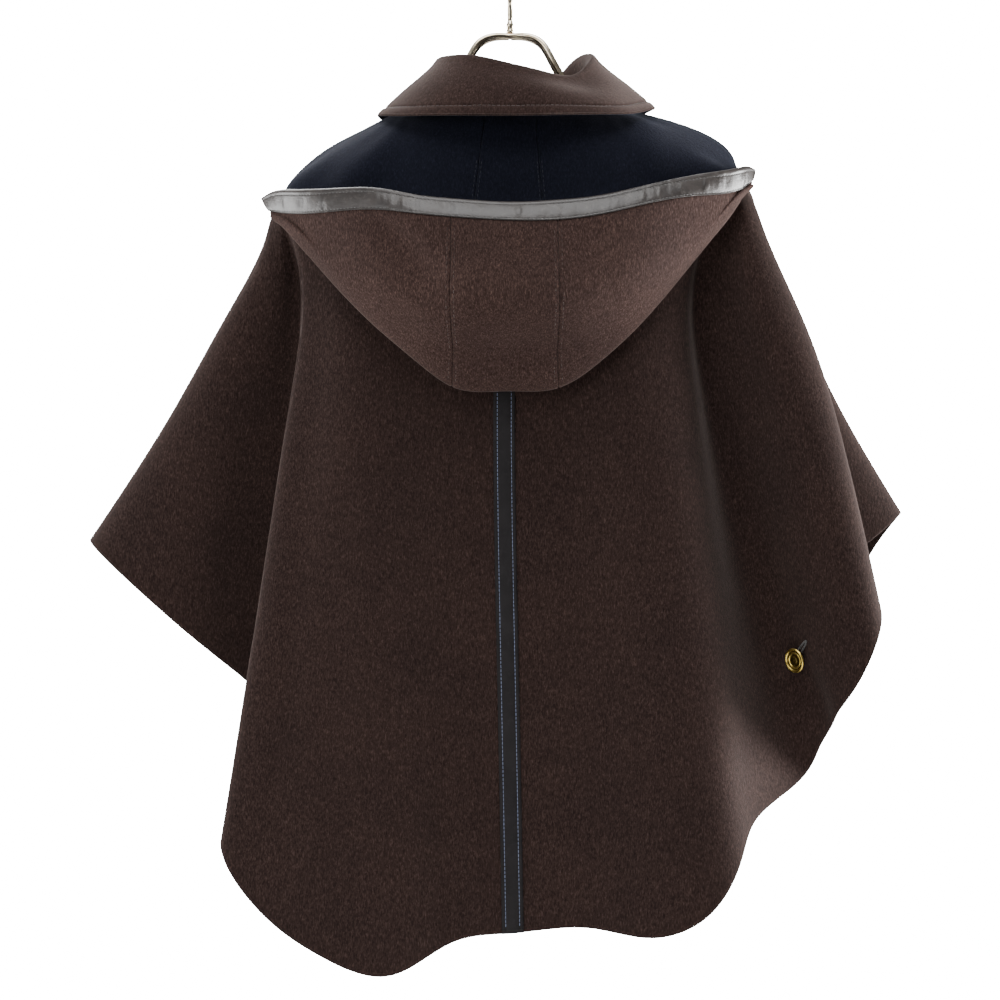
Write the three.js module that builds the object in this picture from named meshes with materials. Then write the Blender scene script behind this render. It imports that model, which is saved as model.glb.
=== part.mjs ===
// A hooded poncho of double-faced wool, hanging on a double-wire metal hanger.
// Millimetres, +Z up. The back of the garment faces -Y, its front +Y, and X runs to the right
// as the back is looked at. The origin is the inside top of the hanger's hook.
import * as THREE from 'three';
import { mergeVertices } from 'three/addons/utils/BufferGeometryUtils.js';

// Driving dimensions
const clothThickness = 3;
const collarThickness = 2.6;
const leatherThickness = 1.2;
const seamGap = 0.3;
const stripeWidth = 19;
const stripeRoom = 24;
const stripeTop = 0.1;
const trimOuterLeg = 20.5;
const trimInnerLeg = 7;
const trimGap = 0.95;
const buttonDiameter = 23;

// The neck seam is an oval, lowest at the front
const neck = { halfWidth: 74, halfDepth: 58, sideZ: -150, backZ: -162, frontZ: -190 };

// The shoulder ring is where the cloth leaves the hanger and begins to fall
const shoulder = {
  leftHalf: 212, rightHalf: 218, backDepth: 70, frontDepth: 68, leftZ: -240, rightZ: -224, middleZ: -262 };

// Hanger
const wireRadius = 3;
const wireSpread = 12;
const hookRadius = 24;
const hookWireRadius = 2.5;
const bridgeTopZ = -84.3;

// A table's rows become objects with the column names as keys
const table = (columns, rows) =>
  rows.map((row) => Object.fromEntries(columns.map((column, i) => [column, row[i]])));

// One row for each fold or turn of the hem, round the garment from one front edge to the other:
// x, y, z is its place at the hem, turn its place on the shoulder in degrees (0 left, 90 back,
// 180 right), bowX and bowY how far it leans over a third of the way down, sag how far its middle
// swings along X, and out how far the lapped front stands off the neck.
const hem = table(['name', 'x', 'y', 'z', 'turn', 'bowX', 'bowY', 'sag', 'out'], [
  ['front left edge', 28, 114, -906, -97.3, 0, 0, 0, 0],
  ['front left middle', -38, 110, -909, -84, 0, 0, 0, 0],
  ['front left ridge', -126, 130, -906, -62, 0, 8, 0, 0],
  ['front left side', -203, 112, -872, -48, 4, 4, 0, 0],
  ['front left turn', -238, 84, -815, -38, 8, 0, 0, 0],
  ['front left pin', -212, 48, -744, -29, 8, 0, 0, 0],
  ['front left wing', -289, 50, -648, -18, 4, 8, 6, 0],
  ['front left crest', -370, 42, -568, -7, 0, 4, 10, 0],
  ['left crest', -391, 10, -553, 0, 0, 0, 10, 0],
  ['left wing', -334, -18, -607, 6, 2, -6, 8, 0],
  ['left wing inner', -275, -4, -659, 12, 6, -2, 4, 0],
  ['left valley', -206, 22, -729, 16.5, 8, 4, 0, 0],
  ['left turn', -196, -30, -778, 19.5, 12, 0, 0, 0],
  ['left ridge', -258, -102, -821, 24, 15, 0, 0, 0],
  ['left face', -222, -120, -881, 33, 12, 0, 0, 0],
  ['left low', -169, -130, -918, 44, 6, -4, 0, 0],
  ['left point', -108, -130, -936, 56, 2, -4, 0, 0],
  ['trough', -49, -112, -908, 72, -2, 0, 0, 0],
  ['centre', 2, -104, -902, 90, -6, 0, 0, 0],
  ['centre right', 71, -108, -897, 106, -4, 0, 0, 0],
  ['right low', 128, -126, -903, 118, -6, -4, 0, 0],
  ['right foot', 174, -130, -884, 126, -12, -2, 0, 0],
  ['right round', 203, -116, -842, 134, -18, 0, 0, 0],
  ['right in', 219, -84, -806, 142, -20, 6, 0, 0],
  ['right notch', 276, -34, -760, 150, -30, 18, 0, 0],
  ['right tuck', 287, -54, -726, 156, -15, 6, 0, 0],
  ['right belly', 311, -88, -683, 161, -4, -12, 4, 0],
  ['right ridge', 334, -78, -629, 166, 4, -8, 12, 0],
  ['right turn', 324, -14, -590, 169.5, 2, 0, 6, 0],
  ['right valley', 319, 24, -571, 173, 0, 6, 0, 0],
  ['right wing', 347, 36, -548, 176.5, 0, 6, -8, 0],
  ['right crest', 371, 54, -528, 180, 0, 0, -12, 0],
  ['front right crest', 355, 80, -553, 187, 0, 0, -10, 0],
  ['front right wing', 320, 62, -620, 198, 0, 0, -6, 0],
  ['front right pin', 262, -22, -714, 209, -8, 8, 0, 0],
  ['front right turn', 220, 46, -782, 218, -6, 0, 0, 0],
  ['front right side', 196, 104, -850, 228, 0, 4, 0, 0],
  ['front right ridge', 127, 130, -902, 242, 0, 8, 0, 5],
  ['front right middle', 39, 122, -908, 264, 0, 0, 0, 8],
  ['front right edge', -27, 122, -907, 277.3, 0, 0, 0, 9],
]);

// Places down each fold: the neck, the middle of the shoulder, the shoulder, then parts of the fall
const fallParts = [0.09, 0.32, 0.64, 1];
const fallKnots = [0, 0.1, 0.2, 0.27, 0.45, 0.71, 1];
const shoulderArch = 9;

// The collar, round the neck: turn is the place on the neck seam, then come the places of its
// top fold and of the fall's lower edge.
const collarTable = table(['turn', 'foldX', 'foldY', 'foldZ', 'edgeX', 'edgeY', 'edgeZ', 'belly'], [
  [-86.4, -5, 64, -150, -34, 96, -214, 2],
  [-60, -36, 60, -140, -72, 84, -200, 2],
  [-28, -62, 34, -119, -106, 46, -169, 0],
[0, -67, 0, -108, -123, 2, -158.5, 0],
  [28, -60, -30, -108, -108, -44, -164, 1],
  [58, -36, -50, -110, -64, -77, -168, 2],
  [90, -3, -58, -118, 1, -90, -170, 3],
  [114, 27, -57, -125, 42, -88, -169, 3],
  [138, 54, -44, -128, 90, -70, -166, 2],
  [160, 72, -20, -114, 119, -38, -160, 1],
  [182, 77, 6, -101, 135, 4, -151, 0],
  [212, 62, 42, -100, 112, 46, -160, 1],
  [240, 36, 60, -128, 72, 84, -192, 2],
  [266.4, 5, 68, -151, 34, 98, -213, 2],
]);

// The hood, round the neck: turn is the place on the neck seam, fold the bottom of the pouch,
// edge the opening, belly how far the outer layer stands out between the two, and lean how many
// degrees the opening's band tips back from upright.
const hoodTable = table(
  ['turn', 'foldX', 'foldZ', 'edgeX', 'edgeY', 'edgeZ', 'belly', 'lean', 'nearRise', 'farRise'], [
    [16, -203, -269, -207, -44, -233, 1, 6, 9, 16],
    [30, -160, -318, -164, -82, -236.5, 4, 17, 4, 8],
    [44, -123, -356, -123, -102, -238, 10, 29, 1, 2],
    [60, -82, -391, -82, -112, -246, 20, 44, 0, 0],
    [75, -52, -412, -53, -113, -249, 27, 44, 0, 0],
    [90, -3, -416, -3, -113, -252, 30, 44, 0, 0],
    [105, 43, -413, 42, -111, -250, 28, 38, 0, 0],
    [120, 82, -388, 82, -106, -245, 22, 39, 0, 0],
    [136, 120, -352, 128, -94, -233.5, 15, 36, 1, 2],
    [150, 167, -296, 172, -74, -222.5, 9, 28, 5, 11],
    [164, 207, -245, 212, -42, -212, 2, 8, 8, 15],
  ]);

// At the shoulder tips, where the hood ends, the pouch is a short fold. Its places from the neck
// to the edge.
const hoodTips = {
  left: [[-127, -1, -168], [-190, -6, -206], [-209, -26.5, -249], [-214, -31, -258], [-218, -34, -256.5],
    [-220, -31, -252], [-220.5, -29, -250], [-228, -13, -236.5]],
  right: [[147, -2, -163], [206, -8, -196.5], [210, -22, -223], [213.5, -30, -233], [218.5, -34, -231],
    [221, -30.5, -225], [221.5, -28, -221.5], [224.5, -10, -210]],
};

// Materials
const material = (color, roughness, metalness = 0) =>
  new THREE.MeshStandardMaterial({ color, roughness, metalness });
const wool = material('#4d3d39', 0.95);
const collarWool = material('#554541', 0.95);
const leather = material('#2a272b', 0.55);
const trimLeather = material('#6f6964', 0.6);
const brass = material('#b79c63', 0.3, 1);
const chrome = material('#d8d9dc', 0.15, 1);

// Numbers
const radians = THREE.MathUtils.degToRad;
const mix = (from, to, share) => from + (to - from) * share;
const vector = (x, y, z) => new THREE.Vector3(x, y, z);
const midway = (from, to, share) => new THREE.Vector3().lerpVectors(from, to, share);

// Splits each stretch between knots into equal steps
function stations(knots, steps) {
  const list = knots.slice(1).flatMap((knot, i) =>
    Array.from({ length: steps[i] }, (_, k) => mix(knots[i], knot, k / steps[i])));
  return [...list, knots.at(-1)];
}

// A natural cubic spline as weights: how much of each knot's value there is at a place
function splineWeights(knots) {
  const last = knots.length - 1;
  const gaps = knots.slice(1).map((knot, i) => knot - knots[i]);
  const bends = knots.map(() => new Float64Array(last + 1));
  const upper = new Float64Array(last + 1);
  for (let i = 1; i < last; i++) {
    const [before, after] = [gaps[i - 1], gaps[i]];
    const pivot = 2 * (before + after) - before * upper[i - 1];
    upper[i] = after / pivot;
    const change = new Float64Array(last + 1);
    change[i - 1] = 6 / before;
    change[i] = -6 / before - 6 / after;
    change[i + 1] = 6 / after;
    bends[i] = change.map((value, k) => (value - before * bends[i - 1][k]) / pivot);
  }
  for (let i = last - 1; i > 0; i--) {
    bends[i] = bends[i].map((value, k) => value - upper[i] * bends[i + 1][k]);
  }
  return (place) => {
    const found = gaps.findIndex((_, k) => place <= knots[k + 1]);
    const i = found < 0 ? last - 1 : found;
    const b = (place - knots[i]) / gaps[i];
    const a = 1 - b;
    const square = gaps[i] ** 2 / 6;
    const weights = bends[i].map((bend, k) =>
      ((a ** 3 - a) * bend + (b ** 3 - b) * bends[i + 1][k]) * square);
    weights[i] += a;
    weights[i + 1] += b;
    return weights;
  };
}

// A sheet of cloth without thickness: a smooth surface through rows of points.
// u runs along the rows' list and v along each row.
class Sheet {
  constructor(net, uKnots, vKnots) {
    this.net = net;
    this.uKnots = uKnots;
    this.uWeights = splineWeights(uKnots);
    this.vWeights = splineWeights(vKnots);
    this.uStep = uKnots.at(-1) * 1e-4;
    this.vStep = 1e-3;
  }

  at(u, v) {
    const across = this.uWeights(u);
    const down = this.vWeights(v);
    const point = vector(0, 0, 0);
    this.net.forEach((row, i) =>
      row.forEach((knot, j) => point.addScaledVector(knot, across[i] * down[j])));
    return point;
  }

  // Change of place for one unit of u, and for one of v
  alongU(u, v) {
    const { uStep } = this;
    return this.at(u + uStep, v).sub(this.at(u - uStep, v)).divideScalar(2 * uStep);
  }

  alongV(u, v) {
    const { vStep } = this;
    return this.at(u, v + vStep).sub(this.at(u, v - vStep)).divideScalar(2 * vStep);
  }

  normal(u, v) {
    return this.alongV(u, v).cross(this.alongU(u, v)).normalize();
  }

  spot(u, v) {
    return { point: this.at(u, v), normal: this.normal(u, v) };
  }
}

// Running length through a list of points
function runningLengths(points) {
  let length = 0;
  return points.map((point, i) => (length += i ? point.distanceTo(points[i - 1]) : 0));
}

// A closed mesh from points and faces, with its faces pointing out
function solid(name, positions, faces, look) {
  const geometry = new THREE.BufferGeometry();
  geometry.setAttribute('position', new THREE.Float32BufferAttribute(positions.flatMap((p) => p.toArray()), 3));
  geometry.setIndex(faces);
  return finished(name, geometry, look);
}

function finished(name, source, look) {
  source.deleteAttribute('normal');
  source.deleteAttribute('uv');
  const geometry = mergeVertices(source, 1e-3);
  const place = geometry.getAttribute('position');
  const index = geometry.getIndex();
  const corner = (k) => vector().fromBufferAttribute(place, index.getX(k));
  let volume = 0;
  for (let k = 0; k < index.count; k += 3) {
    volume += corner(k).dot(corner(k + 1).cross(corner(k + 2)));
  }
  if (volume < 0) {
    for (let k = 0; k < index.count; k += 3) {
      const [second, third] = [index.getX(k + 1), index.getX(k + 2)];
      index.setX(k + 1, third);
      index.setX(k + 2, second);
    }
  }
  geometry.computeVertexNormals();
  const mesh = new THREE.Mesh(geometry, look);
  mesh.name = name;
  return mesh;
}

// A four-cornered face as two triangles, split along its shorter diagonal
function splitQuad(points, a, b, c, d) {
  const shortAC = points[a].distanceTo(points[c]) < points[b].distanceTo(points[d]);
  return shortAC ? [a, b, c, a, c, d] : [a, b, d, b, c, d];
}

// A wall over a grid of spots, from one height above the sheet to another
function wall(name, grid, low, high, look) {
  const [rows, columns] = [grid.length, grid[0].length];
  const points = [high, low, 0].flatMap((height) => grid.flatMap((row) =>
    row.map(({ point, normal }) => point.clone().addScaledVector(normal, height))));
  const middle = points.splice(2 * rows * columns);
  const at = (side, i, j) => (side * rows + i) * columns + j;
  const faces = [];
  const quad = (...corners) => faces.push(...splitQuad(points, ...corners));
  for (let i = 0; i < rows - 1; i++) {
    for (let j = 0; j < columns - 1; j++) {
      const split = splitQuad(middle, at(0, i, j), at(0, i + 1, j), at(0, i + 1, j + 1), at(0, i, j + 1));
      faces.push(...split, ...split.toReversed().map((corner) => corner + rows * columns));
    }
    quad(at(0, i, 0), at(1, i, 0), at(1, i + 1, 0), at(0, i + 1, 0));
    const end = columns - 1;
    quad(at(0, i, end), at(0, i + 1, end), at(1, i + 1, end), at(1, i, end));
  }
  for (let j = 0; j < columns - 1; j++) {
    quad(at(0, 0, j), at(0, 0, j + 1), at(1, 0, j + 1), at(1, 0, j));
    const end = rows - 1;
    quad(at(0, end, j), at(1, end, j), at(1, end, j + 1), at(0, end, j + 1));
  }
  return solid(name, points, faces, look);
}

// A bar that joins closed sections of equal count, with flat ends. Each face is split along
// its shorter diagonal, or as its lean says: 1 from the first corner, -1 from the second.
function bar(name, sections, endFaces, look, leanOf = () => 0) {
  const count = sections[0].length;
  const points = sections.flat();
  const faces = [];
  for (let i = 0; i < sections.length - 1; i++) {
    for (let k = 0; k < count; k++) {
      const [start, next] = [i * count, (k + 1) % count];
      const [a, b, c, d] = [start + k, start + next, start + count + next, start + count + k];
      const lean = leanOf(i, k);
      if (lean === 0) faces.push(...splitQuad(points, a, b, c, d));
      else faces.push(...(lean > 0 ? [a, b, c, a, c, d] : [a, b, d, b, c, d]));
    }
  }
  const last = points.length - count;
  endFaces.forEach(([p, q, r]) => faces.push(p, r, q, last + p, last + q, last + r));
  return solid(name, points, faces, look);
}

// The cape's sheet
function neckTurn(turn) {
  const side = turn <= 90 ? 0 : 180;
  const off = turn - side;
  const spread = Math.abs(off) <= 90 ? 90 * (Math.abs(off) / 90) ** 0.6 : 90 + 1.6 * (Math.abs(off) - 90);
  return side + Math.sign(off) * spread;
}

function neckPoint(turn, out, onNeck = false) {
  const angle = radians(onNeck ? turn : neckTurn(turn));
  const sine = Math.sin(angle);
  const farZ = sine > 0 ? neck.backZ : neck.frontZ;
  return vector(
    -(neck.halfWidth + out) * Math.cos(angle),
    -(neck.halfDepth + out) * sine,
    mix(neck.sideZ, farZ, sine * sine));
}

function shoulderPoint(turn, out) {
  const angle = radians(turn);
  const [cosine, sine] = [Math.cos(angle), Math.sin(angle)];
  const tipZ = cosine > 0 ? shoulder.leftZ : shoulder.rightZ;
  const halfWidth = cosine > 0 ? shoulder.leftHalf : shoulder.rightHalf;
  const depth = out + (sine > 0 ? shoulder.backDepth : shoulder.frontDepth);
  return vector(
    -halfWidth * cosine,
    -depth * Math.sign(sine) * Math.abs(sine) ** 0.75,
    mix(shoulder.middleZ, tipZ, cosine * cosine));
}

function capeNet() {
  return hem.map((fold) => {
    const top = neckPoint(fold.turn, fold.out);
    const tip = shoulderPoint(fold.turn, fold.out);
    const foot = vector(fold.x, fold.y, fold.z);
    const middle = midway(top, tip, 0.5).add(vector(0, 0, shoulderArch));
    const bow = vector(fold.bowX, fold.bowY, 0);
    const fall = fallParts.map((part) => midway(tip, foot, part)
      .addScaledVector(bow, 6.75 * part * (1 - part) ** 2)
      .add(vector(4 * fold.sag * part * (1 - part), 0, 0)));
    return [top, middle, tip, ...fall];
  });
}

const net = capeNet();
const hemLengths = runningLengths(net.map((row) => row.at(-1)));
const cape = new Sheet(net, hemLengths, fallKnots);
const foldIndex = (name) => hem.findIndex((fold) => fold.name === name);
const placeOf = (name) => hemLengths[foldIndex(name)];

// Where the neck seam passes a turn, found by halving
function neckPlace(turn) {
  let [low, high] = [0, hemLengths.at(-1)];
  const turnAt = (u) => {
    const { x, y } = cape.at(u, 0);
    const angle = THREE.MathUtils.radToDeg(Math.atan2(-y / neck.halfDepth, -x / neck.halfWidth));
    const before = u < placeOf('left crest');
    if (before) return angle > 90 ? angle - 360 : angle;
    return angle < -30 ? angle + 360 : angle;
  };
  for (let i = 0; i < 40; i++) {
    const half = (low + high) / 2;
    if (turnAt(half) < turn) low = half;
    else high = half;
  }
  return low;
}

// The collar's sheet: up the stand, over the top fold and down the fall
const collarKnots = [0, 0.2, 0.4, 0.46, 0.52, 0.76, 1];
const foldHalfWidth = 3.6;

function collarNet() {
  return collarTable.map((row) => {
    const base = neckPoint(row.turn, 0, true);
    const top = vector(row.foldX, row.foldY, row.foldZ);
    const edge = vector(row.edgeX, row.edgeY, row.edgeZ);
    const outward = vector(edge.x - base.x, edge.y - base.y, 0).normalize();
    const inner = top.clone().addScaledVector(outward, -foldHalfWidth).add(vector(0, 0, -foldHalfWidth));
    const outer = top.clone().addScaledVector(outward, foldHalfWidth).add(vector(0, 0, -foldHalfWidth));
    const belly = midway(outer, edge, 0.5).addScaledVector(outward, row.belly).add(vector(0, 0, row.belly));
    return [base, midway(base, inner, 0.5), inner, top, outer, belly, edge];
  });
}

const collarRows = collarNet();
const collarSheet = new Sheet(collarRows, runningLengths(collarRows.map((row) => row[3])), collarKnots);
const collarEnds = ['front left middle', 'front right middle'].map(foldIndex);

// The place along the collar that is sewn to a fold of the cape
function collarPlace(fold) {
  const turn = neckTurn(hem[fold].turn);
  const turns = collarTable.map((row) => row.turn);
  const i = Math.max(0, Math.min(turns.findLastIndex((own) => own <= turn), turns.length - 2));
  const share = (turn - turns[i]) / (turns[i + 1] - turns[i]);
  return mix(collarSheet.uKnots[i], collarSheet.uKnots[i + 1], share);
}

// At the neck seam the stand and the cape are cut on one mitre, so that their edges face
// each other across the seam's gap
function neckSpot(fold) {
  const spot = cape.spot(hemLengths[fold], 0);
  if (fold < collarEnds[0] || fold > collarEnds[1]) return spot;
  spot.normal.sub(collarSheet.normal(collarPlace(fold), 0)).normalize();
  return spot;
}

function makeCollar() {
  const vs = stations(collarKnots, [1, 1, 2, 2, 2, 2]);
  const grid = [];
  for (let fold = collarEnds[0]; fold <= collarEnds[1]; fold++) {
    const seam = neckSpot(fold);
    const upward = cape.alongV(hemLengths[fold], 0).normalize().negate();
    upward.projectOnPlane(seam.normal).normalize();
    seam.point.addScaledVector(upward, seamGap);
    seam.normal.negate();
    const place = collarPlace(fold);
    grid.push([seam, ...vs.slice(1).map((v) => collarSheet.spot(place, v))]);
  }
  return wall('collar', grid, -collarThickness / 2, collarThickness / 2, collarWool);
}

// The panels of the cape, each an even grid between two folds, in two columns a fold. Its side
// edges are drawn in by half the seam's gap, and its neck edge runs straight from fold to fold.
// The columns beside the centre follow the stripe's edges.
const fallSteps = [2, 2, 2, 2, 3, 4];
const capeStations = stations(fallKnots, fallSteps);

function capeColumn(column, v) {
  const [fold, half] = [Math.floor(column / 2), column % 2];
  if (v === 0 && half) {
    const [before, after] = [neckSpot(fold), neckSpot(fold + 1)];
    return {
      point: midway(before.point, after.point, 0.5),
      normal: before.normal.add(after.normal).normalize(),
    };
  }
  if (v === 0) return neckSpot(fold);
  const centre = foldIndex('centre');
  const middle = half ? (hemLengths[fold] + hemLengths[fold + 1]) / 2 : hemLengths[fold];
  const beside = half && (fold === centre || fold === centre - 1);
  return cape.spot(beside ? stripePlace(v, fold === centre ? 1 : -1) : middle, v);
}

// The place of the stripe's edge, which near the neck stays within its own folds
function stripePlace(v, side) {
  const centre = placeOf('centre');
  const half = stripeWidth / 2 / cape.alongU(centre, v).length();
  return centre + side * Math.min(half, stripeRoom);
}

function capePanel(name, firstFold, lastFold, sewnSides) {
  const [first, last] = [firstFold, lastFold].map((fold) => 2 * foldIndex(fold));
  const grid = [];
  for (let column = first; column <= last; column++) {
    const side = column === first ? 0 : 1;
    const sewn = (column === first || column === last) && sewnSides[side];
    grid.push(capeStations.map((v) => {
      const spot = capeColumn(column, v);
      if (!sewn) return spot;
      const inward = cape.alongU(hemLengths[column / 2], v).normalize().multiplyScalar(side ? -1 : 1);
      spot.point.addScaledVector(inward, seamGap / 2);
      return spot;
    }));
  }
  return wall(name, grid, -clothThickness / 2, clothThickness / 2, wool);
}

// The hood's sheet: from the neck down the inner layer, round the pouch's fold and up the
// outer layer, then one straight course to the opening edge
const hoodTop = 0.008;
const hoodFoldRadius = 5.2;
const lastCourse = 21.5;
const innerLift = 6.5;
const tipColumns = 4;
const hoodSteps = [3, 3, 2, 1, 1, 2, 1];
const foldCourse = 9;

// The cape's spots near the hood
const capeSpots = stations([0, hemLengths.at(-1)], [260]).flatMap((u) =>
  stations([0, 0.5], [50]).map((v) => ({ u, v, ...cape.spot(u, v) })));
const nearestSpot = (off) => capeSpots.reduce(
  (best, spot) => {
    const distance = off(spot);
    return distance < best.distance ? { distance, spot } : best;
  }, { distance: Infinity }).spot;

// The place on the cape's back behind a point, moved out from it
function onBack(x, z, lift) {
  const nearest = nearestSpot(({ point, normal }) =>
    (normal.y > -0.2 ? Infinity : (point.x - x) ** 2 + (point.z - z) ** 2));
  const { point, normal } = nearest;
  const fall = (x - point.x) * normal.x + (z - point.z) * normal.z;
  return vector(x, point.y + (lift - fall) / Math.min(normal.y, -0.6), z);
}

// The hood keeps this far off the cape's middle, more where the stripe and the trim lie between
const hoodClearNeck = 3.8;
const hoodClear = 6.6;

function pushOff(point, share) {
  const nearest = nearestSpot((spot) => spot.point.distanceToSquared(point));
  const height = point.clone().sub(nearest.point).dot(nearest.normal);
  const least = mix(hoodClearNeck, hoodClear, Math.min(1, share / 0.3));
  return nearest.normal.clone().multiplyScalar(Math.max(0, least - height));
}

const hoodStart = (turn) => {
  const u = neckPlace(turn);
  return cape.at(u, hoodTop).addScaledVector(cape.normal(u, hoodTop), hoodClearNeck);
};

function hoodBackRow(row) {
  const start = hoodStart(row.turn);
  const bottom = onBack(row.foldX, row.foldZ, innerLift + hoodFoldRadius);
  const edge = vector(row.edgeX, row.edgeY, row.edgeZ);
  const upward = edge.clone().sub(bottom).normalize();
  const outward = vector(0, -1, 0).projectOnPlane(upward).normalize();
  const heart = bottom.clone().addScaledVector(upward, hoodFoldRadius);
  const inner = [[0.36, row.nearRise], [0.76, row.farRise]].map(([share, rise]) => {
    const place = midway(start, heart, share);
    place.z += rise;
    const lying = onBack(place.x, place.z, innerLift);
    return vector(place.x, Math.min(lying.y, mix(start.y, heart.y, share)), place.z);
  });
  const belly = (place, fullness) => place.add(vector(0, -row.belly * fullness, 0));
  const outer = heart.clone().addScaledVector(outward, hoodFoldRadius);
  const lean = radians(row.lean);
  const inside = edge.clone().addScaledVector(upward, -lastCourse * Math.cos(lean))
    .addScaledVector(outward, lastCourse * Math.sin(lean));
  const unbent = edge.clone().addScaledVector(upward, -lastCourse);
  return [
    start, ...inner,
    heart.clone().addScaledVector(outward, -hoodFoldRadius), bottom, outer,
    belly(midway(outer, unbent, 0.6), 1), inside, edge];
}

const hoodRows = [
  [hoodStart(0), ...hoodTips.left.map((place) => vector(...place))],
  ...hoodTable.map(hoodBackRow),
  [hoodStart(180), ...hoodTips.right.map((place) => vector(...place))],
];
const hoodLengths = runningLengths(hoodRows.map((row) => midway(row[4], row.at(-1), 0.5)));
const hoodAcross = splineWeights(hoodLengths);

// Each row but its last course is a curve of its own; these are its points at every course
const hoodCourses = hoodRows.map((row) => {
  const knots = row.slice(0, -1);
  const lengths = runningLengths(knots);
  const weights = splineWeights(lengths);
  const curve = stations(lengths, hoodSteps).map((place) => {
    const share = weights(place);
    return knots.reduce((sum, knot, k) => sum.addScaledVector(knot, share[k]), vector(0, 0, 0));
  });
  return [...curve, row.at(-1)];
});
const hoodSeams = [75, 105].map((turn) =>
  1 + hoodTable.findIndex((row) => row.turn === turn));

function hoodPoints(u) {
  const share = hoodAcross(u);
  return hoodCourses[0].map((_, course) => hoodCourses.reduce(
    (sum, row, i) => sum.addScaledVector(row[course], share[i]), vector(0, 0, 0)));
}

// A column of spots, with what lies on the cape pushed clear of it
function hoodColumn(u) {
  const [points, before, after] = [hoodPoints(u), hoodPoints(u - 0.5), hoodPoints(u + 0.5)];
  const last = points.length - 1;
  const step = (j) => points[j + 1].clone().sub(points[j]).normalize();
  const column = points.map((point, j) => {
    const down = step(Math.min(j, last - 1)).add(step(Math.max(j - 1, 0)));
    const across = after[j].clone().sub(before[j]);
    return { point, normal: down.cross(across).normalize() };
  });
  const foldPush = pushOff(points[foldCourse], 1);
  points.forEach((point, j) => {
    if (j > foldCourse) point.addScaledVector(foldPush, (last - j) / (last - foldCourse));
    point.add(pushOff(point, j / foldCourse));
  });
  const [inside, edge] = points.slice(-2);
  edge.sub(inside).setLength(lastCourse).add(inside);
  return column;
}

// Columns from each row to the next: more of them where the cloth turns over the shoulder tips
const tipRows = [0, hoodRows.length - 1];
const hoodColumnSteps = hoodLengths.slice(1).map((_, i) => {
  const [beforeTip, afterTip] = [tipRows.includes(i + 1), tipRows.includes(i)];
  return beforeTip || afterTip ? tipColumns : 3;
});
const hoodSpots = stations(hoodLengths, hoodColumnSteps).map(hoodColumn);
const columnOf = (row) => hoodColumnSteps.slice(0, row).reduce((sum, steps) => sum + steps, 0);

function hoodPanel(name, first, last, sewnSides) {
  const columns = hoodSpots.slice(columnOf(first), columnOf(last) + 1);
  const drawnIn = (column, neighbour) => column.map(({ point, normal }, j) => {
    const inward = neighbour[j].point.clone().sub(point).normalize();
    return { point: point.clone().addScaledVector(inward, seamGap / 2), normal };
  });
  const end = columns.length - 1;
  const grid = columns.map((column, i) => {
    if (i === 0 && sewnSides[0]) return drawnIn(column, columns[1]);
    if (i === end && sewnSides[1]) return drawnIn(column, columns[end - 1]);
    return column;
  });
  return wall(name, grid, -clothThickness / 2, clothThickness / 2, wool);
}

// The leather that binds the opening edge: a U round the cloth, its outer leg the longer one,
// lying along the hood's last course
function makeTrim() {
  const clear = clothThickness / 2 + trimGap;
  const face = clear + leatherThickness;
  const sections = hoodSpots.map((column) => {
    const [inside, edge] = column.slice(-2);
    const length = edge.point.distanceTo(inside.point);
    const at = (depth, height) => midway(edge.point, inside.point, depth / length)
      .add(midway(edge.normal, inside.normal, depth / length).multiplyScalar(height));
    const beyond = -trimGap - leatherThickness;
    return [
      at(trimOuterLeg, -face), at(beyond, -face), at(beyond, face), at(trimInnerLeg, face),
      at(trimInnerLeg, clear), at(-trimGap, clear), at(-trimGap, -clear), at(trimOuterLeg, -clear)];
  });
  const ends = [[0, 1, 7], [1, 6, 7], [1, 2, 6], [2, 5, 6], [2, 3, 5], [3, 4, 5]];
  const toEdge = [1, 0, -1, 0, 1, 0, -1, 0];
  const leanOf = (i, k) => {
    const [[inside, edge], [nextInside, nextEdge]] = [hoodSpots[i].slice(-2), hoodSpots[i + 1].slice(-2)];
    const across = inside.point.distanceTo(nextEdge.point) < nextInside.point.distanceTo(edge.point);
    return across ? toEdge[k] : -toEdge[k];
  };
  return bar('hood_trim', sections, ends, trimLeather, leanOf);
}

// The stripe down the centre back, from under the hood to the hem
function makeStripe() {
  const centre = 2 * foldIndex('centre');
  const vs = capeStations.filter((v) => v >= stripeTop);
  const grid = [centre - 1, centre, centre + 1].map((column) => vs.map((v) => capeColumn(column, v)));
  const low = clothThickness / 2 + seamGap;
  return wall('back_stripe', grid, low, low + leatherThickness, leather);
}

// A metal button with a rim, a dished middle and a short shank, its axis along Y
const buttonProfile = [
  [0, 0], [2.6, 0], [2.6, 3.8], [11, 4.2], [11.5, 5.2], [10.6, 6.4], [9.2, 6.1], [8.4, 5.5], [4, 5.7], [0, 5.8]];

function button(name, { point, normal }) {
  const scale = buttonDiameter / 23;
  const profile = buttonProfile.map(([radius, height]) => new THREE.Vector2(radius * scale, height));
  const mesh = finished(name, new THREE.LatheGeometry(profile, 20), brass);
  mesh.position.copy(point).addScaledVector(normal, clothThickness / 2 + 2 * seamGap);
  mesh.quaternion.setFromUnitVectors(vector(0, 1, 0), normal);
  return mesh;
}

// One side button draws the back to the front under each arm; four close the front
const betweenFolds = (first, second, share) => mix(placeOf(first), placeOf(second), share);
const frontButtonDrops = [0.17, 0.33, 0.5, 0.67];
const frontButtonPlace = betweenFolds('front right middle', 'front right edge', 0.5);

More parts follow.
